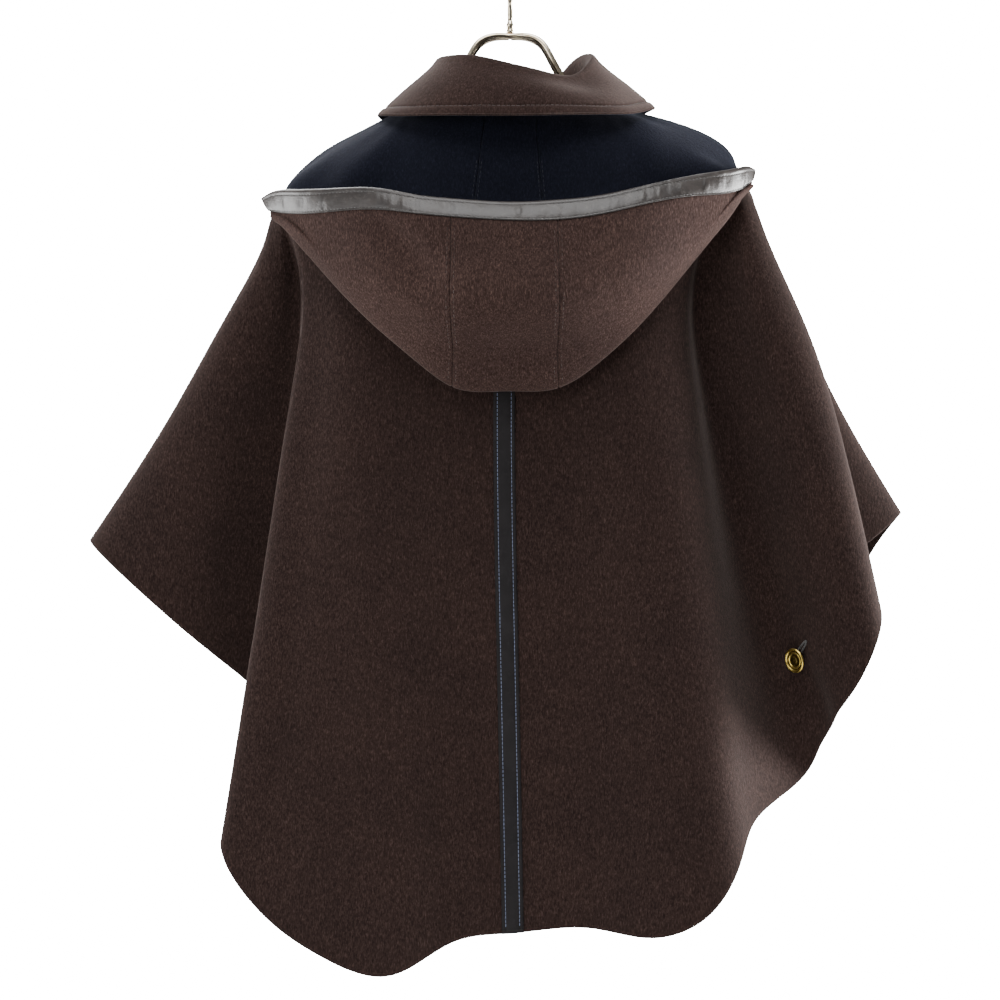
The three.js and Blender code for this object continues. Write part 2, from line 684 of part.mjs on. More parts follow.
function makeButtons() {
  return [
    button('side_button_right', cape.spot(betweenFolds('right notch', 'right tuck', 0.65), 0.8775)),
    button('side_button_left', cape.spot(betweenFolds('left turn', 'left ridge', 0.5), 0.8525)),
    ...frontButtonDrops.map((drop, i) => button(`front_button_${i + 1}`, cape.spot(frontButtonPlace, drop))),
  ];
}

// The hanger: one wire bent into a long loop, two runs side by side that part from the bridge's
// middle and turn back at the shoulder tips. Its ends meet under the nut.
const bridgeHalf = [[1.2, 3.4, bridgeTopZ], [13, 6, bridgeTopZ], [28, 9.5, -90], [38, 12, -105],
  [52, 12, -131], [65, 12, -154]];
const armParts = [0.05, 0.08, 0.12, 0.16, 0.183];
const armDrop = clothThickness / 2 + seamGap + wireRadius + 3.2;

function makeHangerLoop() {
  const half = (side) => {
    const crest = placeOf(side < 0 ? 'left crest' : 'right crest');
    const below = (v, depth) => {
      const lean = vector(0, 0, 1).projectOnPlane(cape.alongV(crest, v).normalize()).normalize();
      const point = cape.at(crest, v).addScaledVector(lean, -armDrop);
      return vector(point.x, depth, point.z);
    };
    const run = [
      ...bridgeHalf.map(([x, y, z]) => vector(side * x, y, z)),
      ...armParts.map((v) => below(v, wireSpread))];
    const back = run.map(({ x, y, z }) => vector(x, -y, z)).reverse();
    return [run, below(0.194, 0), back];
  };
  const [rightRun, rightTip, rightBack] = half(1);
  const [leftRun, leftTip, leftBack] = half(-1);
  const route = [
    ...rightRun, rightTip, ...rightBack.slice(0, -1), vector(0, -bridgeHalf[0][1], bridgeTopZ),
    ...leftBack.toReversed().slice(1), leftTip, ...leftRun.toReversed()];
  return tube('hanger_wire', route, wireRadius, 120, 6, chrome);
}

function tube(name, route, radius, steps, sides, look) {
  const outline = new THREE.Shape(Array.from({ length: sides }, (_, k) => {
    const angle = (k + 0.5) * 2 * Math.PI / sides;
    return new THREE.Vector2(radius * Math.cos(angle), radius * Math.sin(angle));
  }));
  const path = new THREE.CatmullRomCurve3(route, false, 'centripetal');
  return finished(name, new THREE.ExtrudeGeometry(outline, { steps, extrudePath: path }), look);
}

function makeHook() {
  const centreZ = hookWireRadius - hookRadius;
  const arc = stations([215, -25], [9]).map((degrees) => {
    const angle = radians(degrees);
    return vector(0, hookRadius * Math.cos(angle), centreZ + hookRadius * Math.sin(angle));
  });
  const stem = [[0, -68.8], [0, -62], [-1, -54], [-9, -45]].map(([y, z]) => vector(0, y, z));
  return tube('hanger_hook', [...stem, ...arc], hookWireRadius, 30, 8, chrome);
}

function makeNut() {
  const bottom = bridgeTopZ + wireRadius + seamGap;
  const profile = [[0, 0], [3.4, 0], [3.4, 9], [2.7, 11.6], [0, 11.6]].map(([x, y]) => new THREE.Vector2(x, y));
  const mesh = finished('hanger_nut', new THREE.LatheGeometry(profile, 16), chrome);
  mesh.rotation.x = Math.PI / 2;
  mesh.position.z = bottom;
  return mesh;
}

const poncho = new THREE.Group();
poncho.add(
  capePanel('back', 'left crest', 'right crest', [true, true]),
  capePanel('front_left', 'front left edge', 'left crest', [false, true]),
  capePanel('front_right', 'right crest', 'front right edge', [true, false]),
  makeCollar(),
  hoodPanel('hood_left', 0, hoodSeams[0], [false, true]),
  hoodPanel('hood_centre', hoodSeams[0], hoodSeams[1], [true, true]),
  hoodPanel('hood_right', hoodSeams[1], hoodRows.length - 1, [true, false]),
  makeTrim(),
  makeStripe(),
  ...makeButtons(),
  makeHangerLoop(),
  makeNut(),
  makeHook(),
);

export default poncho;
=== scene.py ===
"""A hooded wool poncho hanging on its wire hanger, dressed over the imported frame.

The tables and sheets are in millimetres, as in the part's source, and the meshes in metres.
"""
import math

import bpy
import numpy as np
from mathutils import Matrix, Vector


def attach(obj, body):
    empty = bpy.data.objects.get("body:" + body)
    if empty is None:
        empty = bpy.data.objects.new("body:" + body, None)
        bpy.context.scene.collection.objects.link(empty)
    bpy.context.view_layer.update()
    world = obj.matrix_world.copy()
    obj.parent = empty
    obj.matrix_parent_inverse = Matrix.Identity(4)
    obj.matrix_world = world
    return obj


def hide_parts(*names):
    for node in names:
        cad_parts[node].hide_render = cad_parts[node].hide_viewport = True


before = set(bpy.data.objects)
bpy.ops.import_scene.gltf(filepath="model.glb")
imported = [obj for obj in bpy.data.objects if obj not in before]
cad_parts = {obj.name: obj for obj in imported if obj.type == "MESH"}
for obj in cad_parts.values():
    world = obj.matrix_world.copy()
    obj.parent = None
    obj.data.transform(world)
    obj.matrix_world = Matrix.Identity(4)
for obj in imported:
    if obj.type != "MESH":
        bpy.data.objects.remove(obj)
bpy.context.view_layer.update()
rng = np.random.default_rng(7)

MM = 0.001
CLOTH = 3.0
COLLAR_CLOTH = 2.6
LEATHER = 1.2
SEAM_GAP = 0.3
STRIPE_WIDTH = 19.0
STRIPE_ROOM = 24.0
STRIPE_TOP = 0.1


# Camera and light
def put(name, data):
    """A new object in the scene."""
    thing = bpy.data.objects.new(name, data)
    bpy.context.scene.collection.objects.link(thing)
    return thing


def make_camera():
    """The photograph's view: 0.93 mm a pixel at the hanger's plane."""
    mm_per_pixel, pixels, sensor = 0.93, 1000, 36.0
    middle_x, distance, middle_z = -9.3, 2600.0, -515.0
    data = bpy.data.cameras.new("camera")
    data.sensor_width = sensor
    data.lens = sensor * distance / (mm_per_pixel * pixels)
    data.clip_end = 50
    camera = put("camera", data)
    camera.location = (middle_x * MM, -distance * MM, middle_z * MM)
    camera.rotation_euler = (math.radians(90), 0, 0)
    bpy.context.scene.camera = camera


def add_area_light(name, place, target, size, power):
    data = bpy.data.lights.new(name, "AREA")
    data.shape = "DISK"
    data.size = size
    data.energy = power
    light = put(name, data)
    light.location = place
    aim = Vector(target) - Vector(place)
    light.rotation_euler = aim.to_track_quat("-Z", "Y").to_euler()


# Tables, row for row as in the part's source
def table(columns, rows):
    """Rows as dictionaries, with the column names as keys."""
    return [dict(zip(columns.split(), row)) for row in rows]


def point_of(row, prefix=""):
    """The point in a row's columns for x, y and z, which may have a word before them."""
    return np.array([row[prefix + axis] for axis in "xyz"], float)


NECK = dict(half_width=74, half_depth=58, side_z=-150, back_z=-162, front_z=-190)
SHOULDER = dict(
    left_half=212, right_half=218, back_depth=70, front_depth=68,
    left_z=-240, right_z=-224, middle_z=-262)

HEM = table("name x y z turn bow_x bow_y sag out", [
    ("front left edge", 28, 114, -906, -97.3, 0, 0, 0, 0),
    ("front left middle", -38, 110, -909, -84, 0, 0, 0, 0),
    ("front left ridge", -126, 130, -906, -62, 0, 8, 0, 0),
    ("front left side", -203, 112, -872, -48, 4, 4, 0, 0),
    ("front left turn", -238, 84, -815, -38, 8, 0, 0, 0),
    ("front left pin", -212, 48, -744, -29, 8, 0, 0, 0),
    ("front left wing", -289, 50, -648, -18, 4, 8, 6, 0),
    ("front left crest", -370, 42, -568, -7, 0, 4, 10, 0),
    ("left crest", -391, 10, -553, 0, 0, 0, 10, 0),
    ("left wing", -334, -18, -607, 6, 2, -6, 8, 0),
    ("left wing inner", -275, -4, -659, 12, 6, -2, 4, 0),
    ("left valley", -206, 22, -729, 16.5, 8, 4, 0, 0),
    ("left turn", -196, -30, -778, 19.5, 12, 0, 0, 0),
    ("left ridge", -258, -102, -821, 24, 15, 0, 0, 0),
    ("left face", -222, -120, -881, 33, 12, 0, 0, 0),
    ("left low", -169, -130, -918, 44, 6, -4, 0, 0),
    ("left point", -108, -130, -936, 56, 2, -4, 0, 0),
    ("trough", -49, -112, -908, 72, -2, 0, 0, 0),
    ("centre", 2, -104, -902, 90, -6, 0, 0, 0),
    ("centre right", 71, -108, -897, 106, -4, 0, 0, 0),
    ("right low", 128, -126, -903, 118, -6, -4, 0, 0),
    ("right foot", 174, -130, -884, 126, -12, -2, 0, 0),
    ("right round", 203, -116, -842, 134, -18, 0, 0, 0),
    ("right in", 219, -84, -806, 142, -20, 6, 0, 0),
    ("right notch", 276, -34, -760, 150, -30, 18, 0, 0),
    ("right tuck", 287, -54, -726, 156, -15, 6, 0, 0),
    ("right belly", 311, -88, -683, 161, -4, -12, 4, 0),
    ("right ridge", 334, -78, -629, 166, 4, -8, 12, 0),
    ("right turn", 324, -14, -590, 169.5, 2, 0, 6, 0),
    ("right valley", 319, 24, -571, 173, 0, 6, 0, 0),
    ("right wing", 347, 36, -548, 176.5, 0, 6, -8, 0),
    ("right crest", 371, 54, -528, 180, 0, 0, -12, 0),
    ("front right crest", 355, 80, -553, 187, 0, 0, -10, 0),
    ("front right wing", 320, 62, -620, 198, 0, 0, -6, 0),
    ("front right pin", 262, -22, -714, 209, -8, 8, 0, 0),
    ("front right turn", 220, 46, -782, 218, -6, 0, 0, 0),
    ("front right side", 196, 104, -850, 228, 0, 4, 0, 0),
    ("front right ridge", 127, 130, -902, 242, 0, 8, 0, 5),
    ("front right middle", 39, 122, -908, 264, 0, 0, 0, 8),
    ("front right edge", -27, 122, -907, 277.3, 0, 0, 0, 9),
])
FALL_PARTS = (0.09, 0.32, 0.64, 1)
FALL_KNOTS = (0, 0.1, 0.2, 0.27, 0.45, 0.71, 1)
SHOULDER_ARCH = 9
NECK_CROWDING = 0.6
NECK_FRONT_RATE = 1.6
SHOULDER_SQUARENESS = 0.75
# A bow of part * (1 - part) ** 2 and a sag of part * (1 - part), at their full height, are 1
BOW_SCALE = 27 / 4
SAG_SCALE = 4

COLLAR_TABLE = table("turn fold_x fold_y fold_z edge_x edge_y edge_z belly", [
    (-86.4, -5, 64, -150, -34, 96, -214, 2),
    (-60, -36, 60, -140, -72, 84, -200, 2),
    (-28, -62, 34, -119, -106, 46, -169, 0),
    (0, -67, 0, -108, -123, 2, -158.5, 0),
    (28, -60, -30, -108, -108, -44, -164, 1),
    (58, -36, -50, -110, -64, -77, -168, 2),
    (90, -3, -58, -118, 1, -90, -170, 3),
    (114, 27, -57, -125, 42, -88, -169, 3),
    (138, 54, -44, -128, 90, -70, -166, 2),
    (160, 72, -20, -114, 119, -38, -160, 1),
    (182, 77, 6, -101, 135, 4, -151, 0),
    (212, 62, 42, -100, 112, 46, -160, 1),
    (240, 36, 60, -128, 72, 84, -192, 2),
    (266.4, 5, 68, -151, 34, 98, -213, 2),
])
COLLAR_KNOTS = (0, 0.2, 0.4, 0.46, 0.52, 0.76, 1)
FOLD_HALF_WIDTH = 3.6
COLLAR_ENDS = ("front left middle", "front right middle")

HOOD_TABLE = table("turn fold_x fold_z edge_x edge_y edge_z belly lean near_rise far_rise", [
    (16, -203, -269, -207, -44, -233, 1, 6, 9, 16),
    (30, -160, -318, -164, -82, -236.5, 4, 17, 4, 8),
    (44, -123, -356, -123, -102, -238, 10, 29, 1, 2),
    (60, -82, -391, -82, -112, -246, 20, 44, 0, 0),
    (75, -52, -412, -53, -113, -249, 27, 44, 0, 0),
    (90, -3, -416, -3, -113, -252, 30, 44, 0, 0),
    (105, 43, -413, 42, -111, -250, 28, 38, 0, 0),
    (120, 82, -388, 82, -106, -245, 22, 39, 0, 0),
    (136, 120, -352, 128, -94, -233.5, 15, 36, 1, 2),
    (150, 167, -296, 172, -74, -222.5, 9, 28, 5, 11),
    (164, 207, -245, 212, -42, -212, 2, 8, 8, 15),
])
HOOD_TIPS = dict(
    left=[(-127, -1, -168), (-190, -6, -206), (-209, -26.5, -249), (-214, -31, -258),
          (-218, -34, -256.5), (-220, -31, -252), (-220.5, -29, -250), (-228, -13, -236.5)],
    right=[(147, -2, -163), (206, -8, -196.5), (210, -22, -223), (213.5, -30, -233),
           (218.5, -34, -231), (221, -30.5, -225), (221.5, -28, -221.5), (224.5, -10, -210)])
HOOD_TOP = 0.008
HOOD_FOLD_RADIUS = 5.2
LAST_COURSE = 21.5
INNER_LIFT = 6.5
HOOD_STEPS = (3, 3, 2, 1, 1, 2, 1)
FOLD_COURSE = 9
TIP_COLUMNS = 4
HOOD_CLEAR_NECK = 3.8
HOOD_CLEAR = 6.6


# Splines and sheets
def basis(knots, places):
    """How much of each knot's value a natural cubic spline through them has at each place."""
    knots, places = np.asarray(knots, float), np.asarray(places, float)
    count, gaps = len(knots), np.diff(knots)
    left, right = np.eye(count), np.zeros((count, count))
    for i in range(1, count - 1):
        before, after = gaps[i - 1], gaps[i]
        left[i, i - 1:i + 2] = before, 2 * (before + after), after
        right[i, i - 1:i + 2] = 6 / before, -6 / before - 6 / after, 6 / after
    bends = np.linalg.solve(left, right)
    i = np.clip(np.searchsorted(knots, places) - 1, 0, count - 2)
    b = (places - knots[i]) / gaps[i]
    a = 1 - b
    square = gaps[i] ** 2 / 6
    weights = ((a**3 - a) * square)[:, None] * bends[i] + ((b**3 - b) * square)[:, None] * bends[i + 1]
    rows = np.arange(len(places))
    weights[rows, i] += a
    weights[rows, i + 1] += b
    return weights


def unit(vectors):
    return vectors / np.maximum(np.linalg.norm(vectors, axis=-1, keepdims=True), 1e-12)


def mix(start, end, share):
    return start + (end - start) * share


def smooth(share):
    share = np.clip(share, 0, 1)
    return share * share * (3 - 2 * share)


def running(points):
    """Running length through a list of points."""
    steps = np.linalg.norm(np.diff(points, axis=0), axis=1)
    return np.concatenate([[0], np.cumsum(steps)])


def stations(knots, steps):
    """Each stretch between knots in equal steps."""
    inner = [mix(knots[i], knots[i + 1], k / step) for i, step in enumerate(steps) for k in range(step)]
    return np.array([*inner, knots[-1]])


def joined_runs(places, counts):
    """Even runs between the given places, each with its count of stations, one after the other."""
    runs = [np.linspace(a, b, count)[:-1] for a, b, count in zip(places, places[1:], counts)]
    return np.array([*np.concatenate(runs), places[-1]])


def pairs(us, vs):
    """Every u with every v, as two lists."""
    return np.repeat(us, len(vs)), np.tile(vs, len(us))


def circle(count):
    """Even angles round a circle."""
    return np.linspace(0, 2 * math.pi, count, endpoint=False)


class Sheet:
    """Cloth without thickness: a smooth surface through rows of points, u along the rows' list
    and v along each row."""

    def __init__(self, net, u_knots, v_knots):
        self.net = np.array(net, float)
        self.u_knots, self.v_knots = np.asarray(u_knots, float), np.asarray(v_knots, float)
        self.u_step, self.v_step = self.u_knots[-1] * 1e-4, 1e-3

    def at(self, us, vs):
        across, down = basis(self.u_knots, us), basis(self.v_knots, vs)
        return np.einsum("pi,pj,ijk->pk", across, down, self.net)

    def grid(self, us, vs):
        across, down = basis(self.u_knots, us), basis(self.v_knots, vs)
        return np.einsum("ui,vj,ijk->uvk", across, down, self.net)

    def along_u(self, us, vs):
        step = self.u_step
        return (self.at(us + step, vs) - self.at(us - step, vs)) / (2 * step)

    def along_v(self, us, vs):
        step = self.v_step
        return (self.at(us, vs + step) - self.at(us, vs - step)) / (2 * step)

    def normal(self, us, vs):
        return unit(np.cross(self.along_v(us, vs), self.along_u(us, vs)))


# The cape
def neck_turn(turn):
    side = 0 if turn <= 90 else 180
    off = turn - side
    size = abs(off)
    spread = 90 * (size / 90) ** NECK_CROWDING if size <= 90 else 90 + NECK_FRONT_RATE * (size - 90)
    return side + math.copysign(spread, off)


def neck_point(turn, out=0, on_neck=False):
    angle = math.radians(turn if on_neck else neck_turn(turn))
    sine = math.sin(angle)
    far_z = NECK["back_z"] if sine > 0 else NECK["front_z"]
    return np.array([
        -(NECK["half_width"] + out) * math.cos(angle),
        -(NECK["half_depth"] + out) * sine,
        mix(NECK["side_z"], far_z, sine * sine)])


def shoulder_point(turn, out):
    sine, cosine = math.sin(math.radians(turn)), math.cos(math.radians(turn))
    side = "left" if cosine > 0 else "right"
    depth = out + SHOULDER["back_depth" if sine > 0 else "front_depth"]
    return np.array([
        -SHOULDER[f"{side}_half"] * cosine,
        -depth * math.copysign(abs(sine) ** SHOULDER_SQUARENESS, sine),
        mix(SHOULDER["middle_z"], SHOULDER[f"{side}_z"], cosine * cosine)])


def cape_net():
    net = []
    for fold in HEM:
        top, tip = neck_point(fold["turn"], fold["out"]), shoulder_point(fold["turn"], fold["out"])
        foot = point_of(fold)
        middle = (top + tip) / 2 + (0, 0, SHOULDER_ARCH)
        bow = np.array([fold["bow_x"], fold["bow_y"], 0])
        fall = [
            mix(tip, foot, part) + bow * BOW_SCALE * part * (1 - part) ** 2
            + (SAG_SCALE * fold["sag"] * part * (1 - part), 0, 0) for part in FALL_PARTS]
        net.append([top, middle, tip, *fall])
    return np.array(net)


NET = cape_net()
HEM_LENGTHS = running(NET[:, -1])
cape = Sheet(NET, HEM_LENGTHS, FALL_KNOTS)
FOLD_NAMES = [fold["name"] for fold in HEM]


def place_of(name):
    """The place round the hem of a named fold."""
    return HEM_LENGTHS[FOLD_NAMES.index(name)]


def between(first, second, share):
    return mix(place_of(first), place_of(second), share)


def spot_on_cape(u, v):
    us, vs = np.array([u]), np.array([v])
    return cape.at(us, vs)[0], cape.normal(us, vs)[0]


def cape_cloud(us, vs):
    """Spots all over the plain cape, as points and normals."""
    spots = pairs(us, vs)
    return cape.at(*spots), cape.normal(*spots)


# Creases in the cape that are softer than its folds. Each is a soft ridge, or a trough where its
# height is negative, along a bent line from start through middle to end, in x and z on the back
# or the front of the cape.
CREASES = table("side start middle end half_width height", [
    ("back", (-96, -720), (-84, -800), (-92, -915), 13, 3.0),
    ("back", (-62, -740), (-58, -820), (-56, -900), 12, -3.0),
    ("back", (-30, -440), (-24, -640), (-30, -880), 22, -2.6),
    ("back", (40, -520), (52, -690), (60, -880), 24, 2.2),
    ("back", (146, -420), (162, -575), (198, -735), 28, 3.5),
    ("back", (190, -420), (222, -590), (262, -720), 26, -6.0),
    ("back", (-212, -290), (-244, -480), (-262, -650), 26, -8.0),
    ("back", (270, -668), (283, -702), (290, -738), 9, -6.0),
    ("back", (250, -640), (262, -700), (268, -745), 12, 2.4),
    ("back", (-196, -420), (-214, -620), (-228, -800), 16, 1.8),
    ("back", (-150, -500), (-160, -700), (-150, -880), 22, -1.8),
    ("front", (-110, -420), (-118, -640), (-112, -880), 22, 2.4),
    ("front", (90, -420), (104, -640), (100, -880), 22, -2.4),
])
CREASE_SHARES = np.linspace(0, 1, 25)
FULL_FACING = 0.35


def crease_swell(crease, places, margin, power, soft_ends):
    """A crease's height over each of the places. It fades along the crease, which starts and ends
    with the margin's share of a half wave, and soft ends also fade past them."""
    start, middle, end = (np.array(crease[key], float) for key in ("start", "middle", "end"))
    line = np.array([mix(mix(start, middle, s), mix(middle, end, s), s) for s in CREASE_SHARES])
    off = np.linalg.norm(places[..., None, ::2] - line, axis=-1)
    nearest, off = off.argmin(axis=-1), off.min(axis=-1) / crease["half_width"]
    fade = np.sin(math.pi * mix(margin, 1 - margin, CREASE_SHARES[nearest])) ** power
    if soft_ends:
        past_end = (nearest == 0) | (nearest == len(CREASE_SHARES) - 1)
        fade = np.where(past_end, fade * np.exp(-off), fade)
    return crease["height"] * np.exp(-off ** 2) * fade


def crease_relief(points, normals):
    """How far the creases move each of the cape's points along its normal."""
    relief = np.zeros(len(points))
    for crease in CREASES:
        facing = -normals[:, 1] if crease["side"] == "back" else normals[:, 1]
        swell = crease_swell(crease, points, margin=0.04, power=0.7, soft_ends=True)
        relief += swell * smooth(facing / FULL_FACING)
    return relief


def cape_spots(us, vs):
    """Places and normals on the creased cape, at matching lists of u and v."""
    points, normals = cape.at(us, vs), cape.normal(us, vs)
    return points + normals * crease_relief(points, normals)[:, None], normals


# Meshes
def grid_normals(grid):
    """The normals of a sheet's points, from their neighbours in the grid."""
    down = np.gradient(grid, axis=1)
    across = np.gradient(grid, axis=0)
    return unit(np.cross(down, across))


# A hem's lines, as (depth from the border, share of the thickness)
ROUND_PARTS = ((0.0, 0.0), (0.13, 0.5), (0.5, 0.87), (1.0, 1.0))


def round_border(grid, normals, share, half, axis, at_end):
    """Adds lines beside one border, where the wall's thickness closes in a half round."""
    order = slice(None, None, -1 if at_end else 1)
    points, turned, full = (np.moveaxis(values, axis, 0)[order] for values in (grid, normals, share))
    inward = unit(points[1] - points[0])
    fresh = [points[0] + inward * half * depth for depth, _ in ROUND_PARTS]
    thick = [full[0] * part for _, part in ROUND_PARTS]
    lines = (fresh, points), ([turned[0]] * len(ROUND_PARTS), turned), (thick, full)
    return [np.moveaxis(np.concatenate([first, rest[1:]])[order], 0, axis) for first, rest in lines]


def new_object(name, points, faces, materials, face_slots=None):
    """A piece with smooth shading, from points in millimetres."""
    mesh = bpy.data.meshes.new(name)
    mesh.from_pydata((np.asarray(points) * MM).tolist(), [], [list(face) for face in faces])
    for material in materials:
        mesh.materials.append(material)
    if face_slots is not None:
        mesh.polygons.foreach_set("material_index", np.asarray(face_slots, np.int32))
    mesh.polygons.foreach_set("use_smooth", np.ones(len(mesh.polygons), bool))
    mesh.update()
    return put(name, mesh)


def quads(index):
    """The faces of a grid of point numbers."""
    return np.stack([index[:-1, :-1], index[:-1, 1:], index[1:, 1:], index[1:, :-1]], -1).reshape(-1, 4)


def wall(name, grid, normals, thickness, materials, square_start=False):
    """A closed sheet with thickness over a grid. Its borders close in a half round, but the start
    of each row is cut square where a seam needs it. The outer face has the first material, and
    the inner face the second."""
    half = thickness / 2
    share = np.ones(grid.shape[:2])
    for axis, at_end in ((0, False), (0, True), (1, False), (1, True)):
        if axis == 0 or at_end or not square_start:
            grid, normals, share = round_border(grid, normals, share, half, axis, at_end)
    offset = normals * (half * share)[..., None]
    points = np.concatenate([(grid + offset).reshape(-1, 3), (grid - offset).reshape(-1, 3)])
    top = np.arange(share.size).reshape(share.shape)
    under = np.where(share < 1e-6, top, top + share.size)
    upper, lower = quads(top), quads(under)[:, ::-1]
    faces, slots = [*upper.tolist(), *lower.tolist()], [0] * len(upper) + [1] * len(lower)
    if square_start:
        rim = np.stack([top[:-1, 0], top[1:, 0], under[1:, 0], under[:-1, 0]], -1)[::-1]
        faces += rim.tolist()
        slots += [0] * len(rim)
    faces = [[corner for k, corner in enumerate(face) if corner != face[k - 1]] for face in faces]
    faces, slots = zip(*[(face, slot) for face, slot in zip(faces, slots) if len(set(face)) > 2])
    used = np.unique(np.concatenate(faces))
    renumber = np.zeros(len(points), int)
    renumber[used] = np.arange(len(used))
    return new_object(name, points[used], [renumber[face].tolist() for face in faces], materials, slots)


def cut_of(grid):
    """The width and length in metres of the cloth that a grid was cut from, and its area."""
    width = np.linalg.norm(np.diff(grid, axis=0), axis=2).sum(0).max()
    length = np.linalg.norm(np.diff(grid, axis=1), axis=2).sum(1).max()
    corner, far = grid[:-1, :-1], grid[1:, 1:]
    area = sum(np.linalg.norm(np.cross(far - corner, side - corner), axis=2).sum() / 2
               for side in (grid[:-1, 1:], grid[1:, :-1]))
    return (width * MM, length * MM), area * MM * MM


def ring_faces(rings, sides, first=0):
    """Quads that join rings of points, and a flat face on each end."""
    last = first + (rings - 1) * sides
    faces = []
    for start in range(first, last, sides):
        for k in range(sides):
            a, b = start + k, start + (k + 1) % sides
            faces.append((a, b, b + sides, a + sides))
    return [*faces, tuple(range(first, first + sides))[::-1], tuple(range(last, last + sides))]


# A direction that no wire runs along
AWRY = (0.31, 0.87, 0.38)


def tube(name, route, radius, steps, sides, material):
    """A round wire along a smooth curve through the route's points."""
    route = np.asarray(route, float)
    lengths = running(route)
    path = basis(lengths, np.linspace(0, lengths[-1], steps)) @ route
    tangents = unit(np.gradient(path, axis=0))
    side = unit(np.cross(tangents[0], AWRY))
    angles = circle(sides)
    rings = []
    for point, tangent in zip(path, tangents):
        side = unit(side - tangent * side.dot(tangent))
        up = np.cross(tangent, side)
        rings.append(point + radius * (np.outer(np.cos(angles), side) + np.outer(np.sin(angles), up)))
    return new_object(name, np.concatenate(rings), ring_faces(steps, sides), [material])


def lathe(name, profile, sides, materials, place, axis, second=()):
    """A turned piece: rings of (radius, height) about an axis through a place. The rings listed
    in second have the second material."""
    turn = Vector((0, 0, 1)).rotation_difference(Vector(axis)).to_matrix()
    points = np.array([(radius * math.cos(t), radius * math.sin(t), height)
                       for radius, height in profile for t in circle(sides)])
    points = points @ np.array(turn).T + np.asarray(place)
    slots = [int(ring in second) for ring in range(len(profile) - 1) for _ in range(sides)]
    return new_object(name, points, ring_faces(len(profile), sides), materials, [*slots, 0, 0])


# A stitch is a bead of rings, as (place along it, swell), a little flatter than it is wide
STITCH_RINGS = ((-0.5, 0.35), (-0.36, 0.95), (0.0, 1.1), (0.36, 0.95), (0.5, 0.35))
STITCH_SIDES = 6
STITCH_FLATNESS = 0.8


def stitch_row(path, normals, length, gap, radius, height):
    """Sewn stitches along a path: closed beads, as (points, faces)."""
    lengths = running(path)
    count = max(2, round(lengths[-1] / (length + gap)))

    def sample(values, place):
        return np.array([np.interp(place, lengths, values[:, k]) for k in range(3)])

    points, faces = [], []
    for middle in (np.arange(count) + 0.5) * lengths[-1] / count:
        normal = unit(sample(normals, middle))
        ahead = unit(sample(path, middle + length / 2) - sample(path, middle - length / 2))
        across = unit(np.cross(ahead, normal))
        faces += ring_faces(len(STITCH_RINGS), STITCH_SIDES, len(points))
        for along, swell in STITCH_RINGS:
            heart = sample(path, middle + along * length) + normal * height
            points += [
                heart + radius * swell * (math.cos(t) * across + STITCH_FLATNESS * math.sin(t) * normal)
                for t in circle(STITCH_SIDES)]
    return points, faces


def stitches(name, rows, material):
    """One piece with several rows of stitches."""
    points, faces = [], []
    for row_points, row_faces in rows:
        faces += [tuple(corner + len(points) for corner in face) for face in row_faces]
        points += row_points
    return new_object(name, points, faces, [material])


# Materials
class Nodes:
    """The node tree of a material or a world, built step by step. A value for a socket is a
    number, a vector, a colour or another socket to link to."""

    def __init__(self, owner):
        owner.use_nodes = True
        self.owner, self.tree = owner, owner.node_tree
        self.coordinates = self.add("ShaderNodeTexCoord").outputs
        self.place = self.coordinates["Object"]

    def feed(self, socket, value):
        if isinstance(value, bpy.types.NodeSocket):
            self.tree.links.new(value, socket)
        else:
            socket.default_value = (*value, 1) if socket.type == "RGBA" else value

    def add(self, kind, inputs=None, **settings):
        node = self.tree.nodes.new(kind)
        for key, value in settings.items():
            setattr(node, key, value)
        for key, value in (inputs or {}).items():
            self.feed(node.inputs[key], value)
        return node

    def scaled(self, scale):
        return self.add("ShaderNodeMapping", {"Vector": self.place, "Scale": scale}).outputs["Vector"]

    def noise(self, scale, detail=3, roughness=0.55, distortion=0.0, place=None):
        return self.add("ShaderNodeTexNoise", {
            "Vector": place or self.place, "Scale": scale, "Detail": detail, "Roughness": roughness,
            "Distortion": distortion}).outputs["Fac"]

    def pebbles(self, scale):
        inputs = {"Vector": self.place, "Scale": scale}
        return self.add("ShaderNodeTexVoronoi", inputs, feature="SMOOTH_F1").outputs["Distance"]

    def ramp(self, source, *stops):
        """Colours for a source's values, with stops as (value, colour)."""
        node = self.add("ShaderNodeValToRGB", {"Fac": source})
        elements = node.color_ramp.elements
        while len(elements) < len(stops):
            elements.new(0.5)
        for element, (place, colour) in zip(elements, stops):
            element.position = place
            element.color = (*colour, 1)
        return node.outputs["Color"]

    def blend(self, share, first, second, mode="MIX"):
        """Two colours mixed. The node's sockets for colours are those numbered here."""
        inputs = {0: share, 6: first, 7: second}
        return self.add("ShaderNodeMix", inputs, data_type="RGBA", blend_type=mode).outputs[2]

    def maths(self, operation, *values):
        return self.add("ShaderNodeMath", dict(enumerate(values)), operation=operation).outputs[0]

    def bump(self, height, strength, distance, under=None):
        node = self.add("ShaderNodeBump", {"Height": height, "Strength": strength, "Distance": distance})
        if under is not None:
            self.feed(node.inputs["Normal"], under)
        return node.outputs["Normal"]

    def finish(self, looks):
        """Gives the material, with its shader's sockets set by name."""
        shader = self.tree.nodes["Principled BSDF"]
        for name, value in looks.items():
            self.feed(shader.inputs[name], value)
        return self.owner


def linear(colour):
    """A colour as seen on the screen, in the shader's numbers, by the sRGB standard."""
    return tuple(c / 12.92 if c <= 0.04045 else ((c + 0.055) / 1.055) ** 2.4 for c in colour)


PATCH_TONES = (0.9, 0.9, 0.91), (1.08, 1.07, 1.06)


